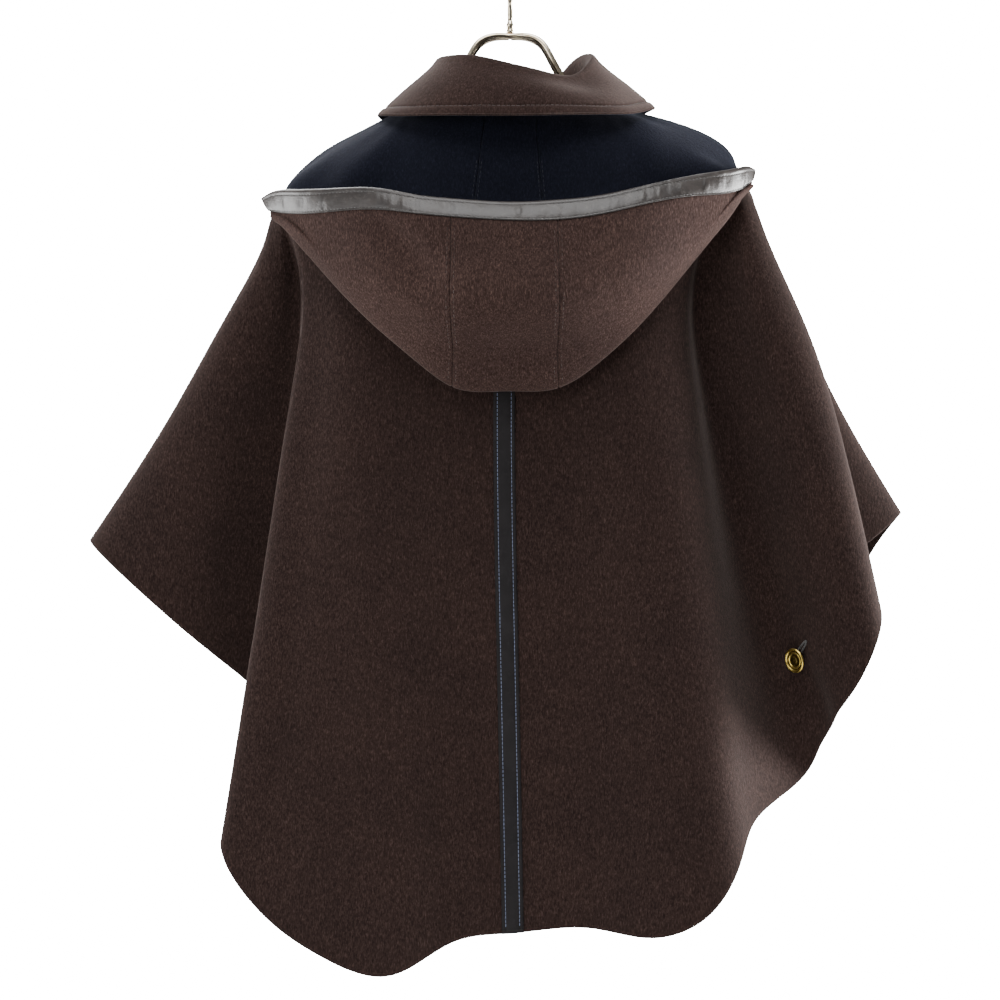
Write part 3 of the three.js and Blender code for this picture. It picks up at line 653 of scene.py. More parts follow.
def wool(name, shades, sheen_tint, sheen, tone_and_painted_light):
    """Brushed double-faced wool: short fibres laid down the cloth over a felted ground. The
    tone lightens or darkens its dark, middle and light shades. In the hood's lighter copy it is
    painted light, and in the collar's darker copy it is painted shade."""
    nodes = Nodes(bpy.data.materials.new(name))
    laid, tufted = nodes.scaled((1.0, 1.0, 0.3)), nodes.scaled((1.0, 1.0, 0.55))
    fibres = nodes.noise(950, detail=4, roughness=0.72, distortion=0.6, place=laid)
    tufts = nodes.noise(330, detail=3, roughness=0.6, distortion=0.3, place=tufted)
    cloud = nodes.noise(14, detail=2, roughness=0.5)
    shades = [[tone_and_painted_light * part for part in linear(shade)] for shade in shades]
    ground = nodes.ramp(fibres, *zip((0.34, 0.52, 0.69), shades))
    for source, spread, share in ((tufts, 0.2, 0.55), (cloud, 0.15, 0.8)):
        patches = nodes.ramp(source, *zip((0.5 - spread, 0.5 + spread), PATCH_TONES))
        ground = nodes.blend(share, ground, patches, "MULTIPLY")
    pile = nodes.bump(fibres, strength=0.35, distance=0.0006)
    pile = nodes.bump(tufts, strength=0.3, distance=0.0012, under=pile)
    return nodes.finish({
        "Base Color": ground, "Roughness": 0.95, "Normal": pile, "Specular IOR Level": 0.08,
        "Sheen Weight": sheen, "Sheen Roughness": 0.45, "Sheen Tint": sheen_tint})


def leather(name, dark, light, worn, roughness, specular, crinkle=0.0):
    """Smooth leather with a fine pebble grain and paler rubbed places."""
    nodes = Nodes(bpy.data.materials.new(name))
    cloud = nodes.noise(55, detail=3, roughness=0.6)
    ground = nodes.ramp(cloud, (0.32, linear(dark)), (0.68, linear(light)))
    worn_places = nodes.noise(190, detail=4, roughness=0.65)
    rubbed = nodes.ramp(worn_places, (0.55, (0, 0, 0)), (0.78, (1, 1, 1)))
    ground = nodes.blend(nodes.maths("MULTIPLY", rubbed, 0.35), ground, linear(worn))
    shine = nodes.maths("MULTIPLY_ADD", cloud, 0.16, roughness - 0.08)
    relief = nodes.bump(nodes.pebbles(900), strength=0.25, distance=0.0004)
    hide = nodes.noise(160, detail=3, roughness=0.6)
    relief = nodes.bump(hide, strength=0.25, distance=0.0012, under=relief)
    if crinkle:
        gathered = nodes.scaled((1.0, 0.16, 0.16))
        puckers = nodes.noise(64, detail=2, roughness=0.5, distortion=0.2, place=gathered)
        relief = nodes.bump(puckers, strength=crinkle, distance=0.004, under=relief)
    return nodes.finish({
        "Base Color": ground, "Roughness": shine, "Normal": relief, "Specular IOR Level": specular})


def metal(name, colour, second, roughness):
    """Plated metal with faint hairlines and cloudy polish."""
    nodes = Nodes(bpy.data.materials.new(name))
    cloud = nodes.noise(120, detail=3, roughness=0.6)
    hairlines = nodes.noise(300, detail=2, roughness=0.5, place=nodes.scaled((1.0, 1.0, 0.06)))
    return nodes.finish({
        "Base Color": nodes.ramp(cloud, (0.3, linear(second)), (0.7, linear(colour))),
        "Roughness": nodes.maths("MULTIPLY_ADD", cloud, 0.14, roughness - 0.07),
        "Normal": nodes.bump(hairlines, strength=0.08, distance=0.0002), "Metallic": 1.0})


def thread(name, colour, light):
    """Twisted sewing thread."""
    nodes = Nodes(bpy.data.materials.new(name))
    twist = nodes.noise(2600, detail=2, roughness=0.5)
    return nodes.finish({
        "Base Color": nodes.ramp(twist, (0.35, linear(colour)), (0.7, linear(light))),
        "Roughness": 0.6, "Normal": nodes.bump(twist, strength=0.4, distance=0.0002),
        "Sheen Weight": 0.3})


BROWNS = ((0.15, 0.105, 0.095), (0.245, 0.185, 0.17), (0.37, 0.29, 0.265))
NAVIES = ((0.075, 0.085, 0.125), (0.105, 0.115, 0.165), (0.16, 0.17, 0.23))
WARM, COOL = (1.0, 0.84, 0.78), (0.75, 0.8, 1.0)
BROWN = wool("brown_wool", BROWNS, WARM, sheen=0.08, tone_and_painted_light=0.45)
# The hood's copy of the brown wool is lighter: painted light, where the top light falls on the hood's outer
# layer
HOOD_LIT_BROWN = wool("hood_lit_brown_wool", BROWNS, WARM, sheen=0.07, tone_and_painted_light=0.76)
# The collar's copy of the brown wool is darker: painted shade over the collar's middle
COLLAR_SHADED_BROWN = wool("collar_shaded_brown_wool", BROWNS, WARM, sheen=0.12, tone_and_painted_light=0.5)
NAVY = wool("navy_wool", NAVIES, COOL, sheen=0.05, tone_and_painted_light=0.5)
TRIM = leather(
    "trim_leather", (0.15, 0.135, 0.13), (0.20, 0.18, 0.17), (0.38, 0.36, 0.34),
    roughness=0.4, specular=0.4, crinkle=0.4)
STRIPE = leather(
    "stripe_leather", (0.07, 0.06, 0.065), (0.10, 0.09, 0.095), (0.17, 0.16, 0.17),
    roughness=0.62, specular=0.2)
BRASS = metal("button_brass", (0.90, 0.80, 0.45), (0.80, 0.68, 0.34), roughness=0.32)
PATINA = metal("button_patina", (0.50, 0.43, 0.22), (0.32, 0.27, 0.14), roughness=0.4)
CHROME = metal("hanger_metal", (0.88, 0.83, 0.74), (0.76, 0.70, 0.60), roughness=0.22)
TRIM_THREAD = thread("trim_thread", (0.13, 0.12, 0.12), (0.24, 0.23, 0.22))
STRIPE_THREAD = thread("stripe_thread", (0.28, 0.31, 0.40), (0.50, 0.55, 0.68))
WOOL_THREAD = thread("wool_thread", (0.17, 0.13, 0.12), (0.26, 0.20, 0.18))
NAVY_THREAD = thread("navy_thread", (0.08, 0.09, 0.12), (0.12, 0.13, 0.17))


def dress(piece, slot, *nodes):
    """The piece rides with the garment and stands for CAD nodes, which it hides. The slot is not used."""
    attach(piece, "root")
    if nodes:
        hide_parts(*nodes)
    return piece


# Cape panels
CAPE_STEP = 6.0
CAPE_ROWS = 141
HOOD_STEP = 3.6
SEAM_LINE = 0.02
HEM_TURN = 30.0


def collar_place(fold):
    """The place along the collar that is over one of the cape's folds."""
    turn, turns = neck_turn(HEM[fold]["turn"]), [row["turn"] for row in COLLAR_TABLE]
    i = np.clip(np.searchsorted(turns, turn, "right") - 1, 0, len(turns) - 2)
    share = (turn - turns[i]) / (turns[i + 1] - turns[i])
    return mix(collar.u_knots[i], collar.u_knots[i + 1], share)


def collar_net():
    rows = []
    for row in COLLAR_TABLE:
        base = neck_point(row["turn"], 0, True)
        top, edge = point_of(row, "fold_"), point_of(row, "edge_")
        outward = unit(np.array([edge[0] - base[0], edge[1] - base[1], 0]))
        drop = np.array([0, 0, -FOLD_HALF_WIDTH])
        inner, outer = top - outward * FOLD_HALF_WIDTH + drop, top + outward * FOLD_HALF_WIDTH + drop
        belly = (outer + edge) / 2 + outward * row["belly"] + (0, 0, row["belly"])
        rows.append([base, (base + inner) / 2, inner, top, outer, belly, edge])
    return np.array(rows)


COLLAR_NET = collar_net()
collar = Sheet(COLLAR_NET, running(COLLAR_NET[:, 3]), COLLAR_KNOTS)
COLLAR_FOLDS = range(FOLD_NAMES.index(COLLAR_ENDS[0]), FOLD_NAMES.index(COLLAR_ENDS[1]) + 1)
COLLAR_PLACES = np.array([collar_place(fold) for fold in COLLAR_FOLDS])
COLLAR_HEM = HEM_LENGTHS[list(COLLAR_FOLDS)]


def neck_spots(us):
    """Where the cape's neck edge is, with the mitre that it shares with the collar's stand."""
    zero = np.zeros(len(us))
    points, normals = cape.at(us, zero), cape.normal(us, zero)
    under_collar = (us >= COLLAR_HEM[0] - 1e-6) & (us <= COLLAR_HEM[-1] + 1e-6)
    stand = collar.normal(np.interp(us, COLLAR_HEM, COLLAR_PLACES), zero)
    mitred = unit(normals - stand)
    return points, np.where(under_collar[:, None], mitred, normals)


def turn_hem(piece, grid):
    """The hem is turned to the inside, where its band shows the brown face."""
    hem_line = grid[:, -1] * MM
    band = HEM_TURN * MM
    for face in piece.data.polygons:
        if face.material_index == 1:
            off = hem_line - np.array(face.center)
            face.material_index = int((off * off).sum(1).min() > band * band)


def panel_places(start, end, step):
    """Even places from start to end, about a step apart, and one step more at each end."""
    places = np.linspace(start, end, round((end - start) / step) + 1)
    return np.array([places[0] - step, *places, places[-1] + step])


def draw_in(grid, sewn):
    """Moves a panel's sewn sides in by the seam's line."""
    for side, inward in ((0, 1), (-1, -1)):
        if sewn[side]:
            grid[side] += unit(grid[side + inward] - grid[side]) * SEAM_LINE


def cape_panel(name, first, last, sewn, node):
    wider = panel_places(place_of(first), place_of(last), CAPE_STEP)
    vs = np.linspace(0, 1, CAPE_ROWS)
    points, _ = cape_spots(*pairs(wider, vs))
    grid = points.reshape(len(wider), len(vs), 3)
    normals, grid = grid_normals(grid)[1:-1], grid[1:-1]
    grid[:, 0], normals[:, 0] = neck_spots(wider[1:-1])
    draw_in(grid, sewn)
    piece = wall(name, grid, normals, CLOTH, [BROWN, NAVY], square_start=True)
    turn_hem(piece, grid)
    return dress(piece, "wool", node), *cut_of(grid)


cape_pieces = [
    cape_panel("cape_back", "left crest", "right crest", (True, True), "back"),
    cape_panel("cape_front_left", "front left edge", "left crest", (False, True), "front_left"),
    cape_panel("cape_front_right", "right crest", "front right edge", (True, False), "front_right")]


# Collar
COLLAR_COLUMNS = 190
COLLAR_STATIONS = joined_runs((0, 0.86, 1), (60, 26))
COLLAR_SEAM = 10.0
SEAM_GROOVE = dict(depth=0.9, half_width=1.3)
SEAM_PUFF = 0.7
# Over this share of its height the stand comes to the neck seam
STAND_FADE = 0.2
# Stitch rows leave these stations out at each end
ROW_ENDS = slice(3, -3)


def make_collar():
    us = np.linspace(COLLAR_PLACES[0], COLLAR_PLACES[-1], COLLAR_COLUMNS)
    grid = collar.grid(us, COLLAR_STATIONS)
    hem_us = np.interp(us, COLLAR_PLACES, COLLAR_HEM)
    seam, mitred = neck_spots(hem_us)
    upward = -unit(cape.along_v(hem_us, np.zeros(len(us))))
    upward = unit(upward - mitred * (upward * mitred).sum(1, keepdims=True))
    seam = seam + upward * SEAM_GAP
    fade = 1 - smooth(COLLAR_STATIONS / STAND_FADE)
    grid = grid + (seam - grid[:, 0])[:, None] * fade[None, :, None]
    normals = grid_normals(grid)
    normals[:, 0] = -mitred
    to_edge = np.array([running(row[::-1])[::-1] for row in grid])
    groove = np.exp(-((to_edge - COLLAR_SEAM) / SEAM_GROOVE["half_width"]) ** 2)
    puff = np.sin(np.clip(to_edge / COLLAR_SEAM, 0, 1) * math.pi)
    grid = grid + normals * (SEAM_PUFF * puff - SEAM_GROOVE["depth"] * groove)[..., None]
    piece = wall("collar_cloth", grid, normals, COLLAR_CLOTH, [COLLAR_SHADED_BROWN, NAVY], square_start=True)
    sewn = np.arange(len(us)), np.abs(to_edge - COLLAR_SEAM).argmin(axis=1)
    row = stitch_row(grid[sewn][ROW_ENDS], normals[sewn][ROW_ENDS], length=3.4, gap=1.0, radius=0.32,
                     height=COLLAR_CLOTH / 2 + 0.05)
    thread_piece = stitches("collar_stitches", [row], WOOL_THREAD)
    dress(piece, "wool", "collar")
    dress(thread_piece, "wool")


make_collar()


# Hood
SPOT_POINTS, SPOT_NORMALS = cape_cloud(np.linspace(0, HEM_LENGTHS[-1], 261), np.linspace(0, 0.5, 51))
# Normals of the back have a Y below the first, and are taken as no flatter than the second
BACK_FACING = -0.2
STEEPEST = -0.6
NECK_SHARE = 0.3


def on_back(x, z, lift):
    """The point at x and z that lies a lift over the cape's back."""
    off = (SPOT_POINTS[:, 0] - x) ** 2 + (SPOT_POINTS[:, 2] - z) ** 2
    off[SPOT_NORMALS[:, 1] > BACK_FACING] = np.inf
    i = off.argmin()
    point, normal = SPOT_POINTS[i], SPOT_NORMALS[i]
    fall = (x - point[0]) * normal[0] + (z - point[2]) * normal[2]
    return np.array([x, point[1] + (lift - fall) / min(normal[1], STEEPEST), z])


def push_off(point, share):
    """The move that lifts a point of the hood clear of the cape."""
    i = ((SPOT_POINTS - point) ** 2).sum(1).argmin()
    height = (point - SPOT_POINTS[i]).dot(SPOT_NORMALS[i])
    least = mix(HOOD_CLEAR_NECK, HOOD_CLEAR, min(1, share / NECK_SHARE))
    return SPOT_NORMALS[i] * max(0, least - height)


def neck_place(turn):
    """The place round the cape whose neck point lies at a turn, found by halving."""
    low, high = 0.0, HEM_LENGTHS[-1]
    for _ in range(40):
        half = (low + high) / 2
        x, y, _ = cape.at([half], [0])[0]
        angle = math.degrees(math.atan2(-y / NECK["half_depth"], -x / NECK["half_width"]))
        if half < place_of("left crest"):
            angle -= 360 if angle > 90 else 0
        else:
            angle += 360 if angle < -30 else 0
        low, high = (half, high) if angle < turn else (low, half)
    return low


def hood_start(turn):
    point, normal = spot_on_cape(neck_place(turn), HOOD_TOP)
    return point + normal * HOOD_CLEAR_NECK


def hood_back_row(row):
    start = hood_start(row["turn"])
    bottom = on_back(row["fold_x"], row["fold_z"], INNER_LIFT + HOOD_FOLD_RADIUS)
    edge = point_of(row, "edge_")
    upward = unit(edge - bottom)
    outward = np.array([0.0, -1.0, 0.0])
    outward = unit(outward - upward * outward.dot(upward))
    heart = bottom + upward * HOOD_FOLD_RADIUS
    inner = []
    for share, rise in ((0.36, row["near_rise"]), (0.76, row["far_rise"])):
        place = mix(start, heart, share) + (0, 0, rise)
        lying = on_back(place[0], place[2], INNER_LIFT)
        inner.append(np.array([place[0], min(lying[1], mix(start[1], heart[1], share)), place[2]]))
    outer = heart + outward * HOOD_FOLD_RADIUS
    lean = math.radians(row["lean"])
    inside = edge - upward * LAST_COURSE * math.cos(lean) + outward * LAST_COURSE * math.sin(lean)
    unbent = edge - upward * LAST_COURSE
    belly = mix(outer, unbent, 0.6) + (0, -row["belly"], 0)
    return [start, *inner, heart - outward * HOOD_FOLD_RADIUS, bottom, outer, belly, inside, edge]


HOOD_ROWS = np.array([
    [hood_start(0), *HOOD_TIPS["left"]],
    *[hood_back_row(row) for row in HOOD_TABLE],
    [hood_start(180), *HOOD_TIPS["right"]]], float)
HOOD_LENGTHS = running((HOOD_ROWS[:, 4] + HOOD_ROWS[:, -1]) / 2)


def hood_course_rows():
    """Each row but its last course is a curve of its own; these are its points."""
    rows = []
    for row in HOOD_ROWS:
        knots = row[:-1]
        lengths = running(knots)
        rows.append([*(basis(lengths, stations(lengths, HOOD_STEPS)) @ knots), row[-1]])
    return np.array(rows)


HOOD_COURSES = hood_course_rows()
COLUMN_STEPS = [TIP_COLUMNS if i in (0, len(HOOD_ROWS) - 2) else 3 for i in range(len(HOOD_ROWS) - 1)]
COLUMN_PLACES = stations(HOOD_LENGTHS, COLUMN_STEPS)


def hood_column(u):
    """The hood's points from the neck to the edge, pushed clear of the cape."""
    points = np.einsum("i,ijk->jk", basis(HOOD_LENGTHS, [u])[0], HOOD_COURSES)
    last = len(points) - 1
    fold_push = push_off(points[FOLD_COURSE], 1)
    for j in range(last + 1):
        if j > FOLD_COURSE:
            points[j] += fold_push * (last - j) / (last - FOLD_COURSE)
        points[j] += push_off(points[j], j / FOLD_COURSE)
    points[-1] = points[-2] + unit(points[-1] - points[-2]) * LAST_COURSE
    return points


HOOD_COLUMNS = np.array([hood_column(u) for u in COLUMN_PLACES])
HOOD_DOWN = np.mean([running(column) / running(column)[-1] for column in HOOD_COLUMNS], axis=0)
HOOD_SEAMS = [HOOD_LENGTHS[1 + [row["turn"] for row in HOOD_TABLE].index(turn)] for turn in (75, 105)]
HOOD_CREASES = table("start middle end half_width height", [
    ((-124, -258), (-92, -292), (-58, -338), 15, -6.0),
    ((-158, -288), (-110, -322), (-56, -350), 18, 4.0),
    ((62, -298), (112, -286), (168, -262), 15, -1.8),
    ((60, -330), (100, -312), (140, -290), 18, 1.5),
    ((-30, -280), (-10, -290), (20, -282), 16, -1.6),
    ((-96, -322), (-4, -344), (88, -322), 26, 6.5),
    ((-78, -378), (-4, -400), (72, -378), 24, -7.5),
])
CREASE_BLEND = 0.05


def hood_surface(us, vs):
    """The hood at every u and v, with the outer layer's creases."""
    across = basis(COLUMN_PLACES, us)
    curved = basis(HOOD_DOWN[:-1], np.minimum(vs, HOOD_DOWN[-2]))
    grid = np.einsum("ui,vj,ijk->uvk", across, curved, HOOD_COLUMNS[:, :-1])
    last = np.einsum("ui,ik->uk", across, HOOD_COLUMNS[:, -1] - HOOD_COLUMNS[:, -2])
    straight = np.clip((vs - HOOD_DOWN[-2]) / (1 - HOOD_DOWN[-2]), 0, 1)
    grid += straight[None, :, None] * last[:, None]
    normals = grid_normals(grid)
    on_outer = smooth((vs - HOOD_DOWN[FOLD_COURSE] - 0.02) / CREASE_BLEND)
    off_edge = 1 - smooth((vs - HOOD_DOWN[-2] + 0.03) / CREASE_BLEND)
    relief = sum(
        crease_swell(crease, grid, margin=0.05, power=0.8, soft_ends=False) for crease in HOOD_CREASES)
    grid = grid - normals * (relief * on_outer * off_edge)[..., None]
    return grid, grid_normals(grid)


# Stations from the neck to the edge, closest round the pouch's fold
HOOD_VS = joined_runs((0, HOOD_DOWN[8], HOOD_DOWN[12], 1), (44, 22, 44))


def make_hood_panel(name, start, end, sewn, node):
    wider = panel_places(start, end, HOOD_STEP)
    grid, normals = (values[1:-1] for values in hood_surface(wider, HOOD_VS))
    draw_in(grid, sewn)
    piece = wall(name, grid, normals, CLOTH, [NAVY, HOOD_LIT_BROWN])
    return dress(piece, "wool", node), *cut_of(grid)


hood_pieces = [
    make_hood_panel("hood_cloth_left", COLUMN_PLACES[0], HOOD_SEAMS[0], (False, True), "hood_left"),
    make_hood_panel("hood_cloth_centre", *HOOD_SEAMS, (True, True), "hood_centre"),
    make_hood_panel("hood_cloth_right", HOOD_SEAMS[1], COLUMN_PLACES[-1], (True, False), "hood_right")]


# Leather on the hood's edge: across it, (distance down from the edge, height over the cloth's
# middle). The brown side is the lower one.
TRIM_PROFILE = [
    (20.5, -2.45), (19.6, -2.4), (18.6, -2.3), (17.6, -2.6), (15.0, -3.0), (11.0, -3.2), (7.0, -3.15),
    (4.4, -3.0), (3.4, -2.75), (2.4, -3.0), (1.2, -3.05), (-0.3, -2.6), (-1.3, -1.5), (-1.6, 0.0),
    (-1.3, 1.5), (-0.3, 2.6), (1.2, 3.05), (4.0, 3.0), (7.0, 2.6)]
TRIM_STITCHES = (18.6, 3.4)
TRIM_COLUMNS = 520
PUCKERS = dict(count=70, end_room=20, width=(1.4, 5), height=(-0.5, 0.7), least=-0.45, most=0.8)
# Puckers are full at this depth from the edge, and fade over this half width
PUCKER_MIDDLE = 10.5
PUCKER_REACH = 5.5


def leather_band(name, grid, hide, rows, sewing, node):
    """A leather band over a grid, and its rows of stitches."""
    piece = wall(f"{name}_band", grid, grid_normals(grid), LEATHER, [hide, hide])
    sewn = stitches(f"{name}_stitches", rows, sewing)
    return dress(piece, f"{name}_leather", node), dress(sewn, f"{name}_leather")


def finer(profile, count):
    """The profile's places and heights with more points, as two lists."""
    steps = np.linspace(0, len(profile) - 1, count)
    return [np.interp(steps, np.arange(len(profile)), values) for values in zip(*profile)]


def puckers(along):
    """The leather's rise at each place along the edge."""
    rise = np.zeros(len(along))
    room = PUCKERS["end_room"]
    for place in rng.uniform(room, along[-1] - room, PUCKERS["count"]):
        width, height = rng.uniform(*PUCKERS["width"]), rng.uniform(*PUCKERS["height"])
        rise += height * np.exp(-((along - place) / width) ** 2)
    return np.clip(rise, PUCKERS["least"], PUCKERS["most"])


def make_trim():
    us = np.linspace(COLUMN_PLACES[0], COLUMN_PLACES[-1], TRIM_COLUMNS)
    inside, edge = (basis(COLUMN_PLACES, us) @ HOOD_COLUMNS[:, k] for k in (-2, -1))
    down = unit(inside - edge)
    facing = unit(np.cross(-down, np.gradient(edge, axis=0)))
    depths, heights = finer(TRIM_PROFILE, count=55)
    swell = np.exp(-((depths - PUCKER_MIDDLE) / PUCKER_REACH) ** 2) * (heights < 0)
    grid = np.array([
        point + np.outer(depths, away) + np.outer(heights - swell * rise, out)
        for point, away, out, rise in zip(edge, down, facing, puckers(running(edge)))])[:, ::-1]
    lower_depths, lower_heights = zip(*[(-depth, height) for depth, height in TRIM_PROFILE if height < 0])
    rows = []
    for depth in TRIM_STITCHES:
        height = np.interp(-depth, lower_depths, lower_heights)
        path = edge + down * depth + facing * (height - LEATHER / 2 - 0.05)
        rows.append(stitch_row(path[ROW_ENDS], -facing[ROW_ENDS], length=2.6, gap=1.1, radius=0.34, height=0))
    return leather_band("trim", grid, TRIM, rows, TRIM_THREAD, "hood_trim")


trim_piece, trim_sewn = make_trim()


# Stripe down the centre back: across it, (place from the middle, height over its own middle)
STRIPE_PROFILE = [
    (-9.5, -0.3), (-9.2, 0.0), (-8.4, 0.15), (-7.2, 0.1), (-6.3, -0.35), (-5.4, 0.05), (-3.0, 0.12),
    (0.0, 0.15), (3.0, 0.12), (5.4, 0.05), (6.3, -0.35), (7.2, 0.1), (8.4, 0.15), (9.2, 0.0), (9.5, -0.3)]
STRIPE_STITCHES = (-6.3, 6.3)
STRIPE_ROWS = 240


def stripe_spots(vs, across):
    """Places and normals on the cape for every v, at distances across from the centre line."""
    centre = place_of("centre")
    width = np.linalg.norm(cape.along_u(np.full(len(vs), centre), vs), axis=1)
    reach = np.minimum(STRIPE_WIDTH / 2 / width, STRIPE_ROOM) / (STRIPE_WIDTH / 2)
    us = centre + np.outer(reach, across)
    points, normals = cape_spots(us.ravel(), np.repeat(vs, len(across)))
    shape = (len(vs), len(across), 3)
    return points.reshape(shape), normals.reshape(shape)


def make_stripe():
    vs = np.linspace(STRIPE_TOP, 1, STRIPE_ROWS)
    across, heights = finer(STRIPE_PROFILE, count=43)
    points, normals = stripe_spots(vs, across)
    middle = CLOTH / 2 + SEAM_GAP + LEATHER / 2
    grid = (points + normals * (middle + heights)[None, :, None]).transpose(1, 0, 2)
    points, normals = stripe_spots(vs, np.array(STRIPE_STITCHES))
    rows = [
        stitch_row(points[2:-2, k], normals[2:-2, k], length=2.8, gap=0.8, radius=0.36,
                   height=middle + LEATHER / 2 - 0.3)
        for k in range(len(STRIPE_STITCHES))]
    return leather_band("stripe", grid, STRIPE, rows, STRIPE_THREAD, "back_stripe")


stripe_piece, stripe_sewn = make_stripe()


# Stitching beside the hood's two seams, on the outer layer and on the inner one
SEAM_STITCH_OFF = 3.4


def make_hood_stitches():
    brown_rows, navy_rows = [], []
    layers = (
        (brown_rows, np.linspace(HOOD_DOWN[FOLD_COURSE + 1], HOOD_DOWN[-2] - 0.01, 60), -1),
        (navy_rows, np.linspace(0.12, HOOD_DOWN[FOLD_COURSE - 3], 50), 1))
    for seam in HOOD_SEAMS:
        for rows, vs, side in layers:
            for off in (-SEAM_STITCH_OFF, SEAM_STITCH_OFF):
                points, normals = hood_surface(seam + off + np.array([-1.0, 0.0, 1.0]), vs)
                rows.append(stitch_row(points[1], normals[1] * side, length=3.0, gap=1.4, radius=0.16,
                                       height=CLOTH / 2 - 0.08))
    brown = dress(stitches("hood_stitches_outside", brown_rows, WOOL_THREAD), "wool")
    navy = dress(stitches("hood_stitches_inside", navy_rows, NAVY_THREAD), "wool")
    return brown, navy


hood_sewn = make_hood_stitches()


# Buttons: a shank button with a rolled rim and a dished dark middle with a raised ring
BUTTON_PROFILE = [
    (0.01, 0.0), (2.3, 0.0), (2.6, 0.3), (2.6, 3.6), (3.2, 3.9), (10.6, 4.1), (11.2, 4.4), (11.5, 5.0),
    (11.5, 5.5), (11.2, 6.1), (10.6, 6.4), (9.9, 6.35), (9.3, 6.0), (9.0, 5.5), (8.6, 5.2), (7.9, 5.15),
    (7.4, 5.5), (6.9, 5.65), (6.4, 5.5), (6.0, 5.1), (5.2, 4.9), (3.4, 4.9), (2.8, 5.2), (2.2, 5.5),
    (1.2, 5.65), (0.01, 5.7)]
DARK_RINGS = (13, 14, 19, 20, 21, 22, 23)
NEAR_POINTS, NEAR_NORMALS = cape_cloud(np.linspace(0, HEM_LENGTHS[-1], 900), np.linspace(0.1, 1, 200))
# A buttonhole's slit, and the thread stitches round it
HOLE_LENGTH = 27.0
HOLE_HALF_WIDTH = 1.9
HOLE_STITCHES = 72
HOLE_STITCH = dict(length=0.7, half_width=0.95, half_height=0.45, lift=0.2)
HOLE_STITCH_SIDES = 8


def make_button(name, u, v, node):
    point, normal = spot_on_cape(u, v)
    place = point + normal * (CLOTH / 2 + 2 * SEAM_GAP)
    piece = lathe(name, BUTTON_PROFILE, 48, [BRASS, PATINA], place, normal, DARK_RINGS)
    return dress(piece, "button_metal", node)


def on_outer_face(place):
    """The spot of the cape's outer face that is nearest to a place, with its normal."""
    i = ((NEAR_POINTS - place) ** 2).sum(1).argmin()
    normal = NEAR_NORMALS[i]
    flat = place - normal * (place - NEAR_POINTS[i]).dot(normal)
    return flat + normal * CLOTH / 2, normal


def make_buttonhole(name, u, v, toward):
    """A worked buttonhole: close stitches round a slit that runs toward a direction."""
    point, normal = spot_on_cape(u, v)
    ahead = np.asarray(toward, float)
    ahead = unit(ahead - normal * ahead.dot(normal))
    side = np.cross(normal, ahead)
    centre = point + normal * (CLOTH / 2)
    near = []
    for t in circle(HOLE_STITCHES):
        in_slit = centre + ahead * (HOLE_LENGTH / 2 * math.cos(t))
        near.append(on_outer_face(in_slit + side * (HOLE_HALF_WIDTH * math.sin(t))))
    points, faces = [], []
    for k, (point, out) in enumerate(near):
        along = unit(near[(k + 1) % len(near)][0] - near[k - 1][0])
        across = np.cross(out, along)
        faces += ring_faces(2, HOLE_STITCH_SIDES, len(points))
        for step in (-0.5, 0.5):
            heart = point + along * step * HOLE_STITCH["length"] + out * HOLE_STITCH["lift"]
            points += [
                heart + across * HOLE_STITCH["half_width"] * math.cos(t)
                + out * HOLE_STITCH["half_height"] * math.sin(t) for t in circle(HOLE_STITCH_SIDES)]
    return dress(new_object(name, points, faces, [TRIM_THREAD]), "wool")


SIDE_BUTTONS = table("side start end share v beside", [
    ("right", "right notch", "right tuck", 0.65, 0.8775, 1),
    ("left", "left turn", "left ridge", 0.5, 0.8525, -1),
])
FRONT_BUTTON_PLACE = between("front right middle", "front right edge", 0.5)
FRONT_BUTTON_DROPS = (0.17, 0.33, 0.5, 0.67)

for row in SIDE_BUTTONS:
    row["u"] = between(row["start"], row["end"], row["share"])
    make_button(f"side_button_{row['side']}_metal", row["u"], row["v"], f"side_button_{row['side']}")
for row in SIDE_BUTTONS:
    toward = (0.75 * row["beside"], -0.1, 0.6)
    make_buttonhole(f"side_buttonhole_{row['side']}", row["u"] + 6 * row["beside"], row["v"] - 0.006, toward)
for number, drop in enumerate(FRONT_BUTTON_DROPS, 1):
    make_button(f"front_button_{number}_metal", FRONT_BUTTON_PLACE, drop, f"front_button_{number}")
    make_buttonhole(f"front_buttonhole_{number}", FRONT_BUTTON_PLACE + 2, drop, (1, 0, 0))


# Hanger
WIRE_RADIUS = 3.0
WIRE_SPREAD = 12.0
HOOK_RADIUS = 24.0
HOOK_WIRE_RADIUS = 2.5
BRIDGE_TOP_Z = -84.3
BRIDGE_HALF = ((1.2, 3.4, BRIDGE_TOP_Z), (13, 6, BRIDGE_TOP_Z), (28, 9.5, -90), (38, 12, -105),
               (52, 12, -131), (65, 12, -154))
ARM_PARTS = (0.05, 0.08, 0.12, 0.16, 0.183)
ARM_DROP = CLOTH / 2 + SEAM_GAP + WIRE_RADIUS + 3.2
TIP_PART = 0.194
NUT_PROFILE = [
    (0.01, 0), (2.9, 0), (3.4, 0.5), (3.4, 2.6), (3.0, 3.0), (3.0, 3.6), (3.4, 4.0), (3.4, 8.6),
    (3.1, 9.2), (2.7, 9.6), (2.7, 11.2), (2.3, 11.6), (0.01, 11.6)]
HOOK_STEM = [(0, 0, -68.8), (0, 0, -62), (0, -1, -54), (0, -9, -45)]


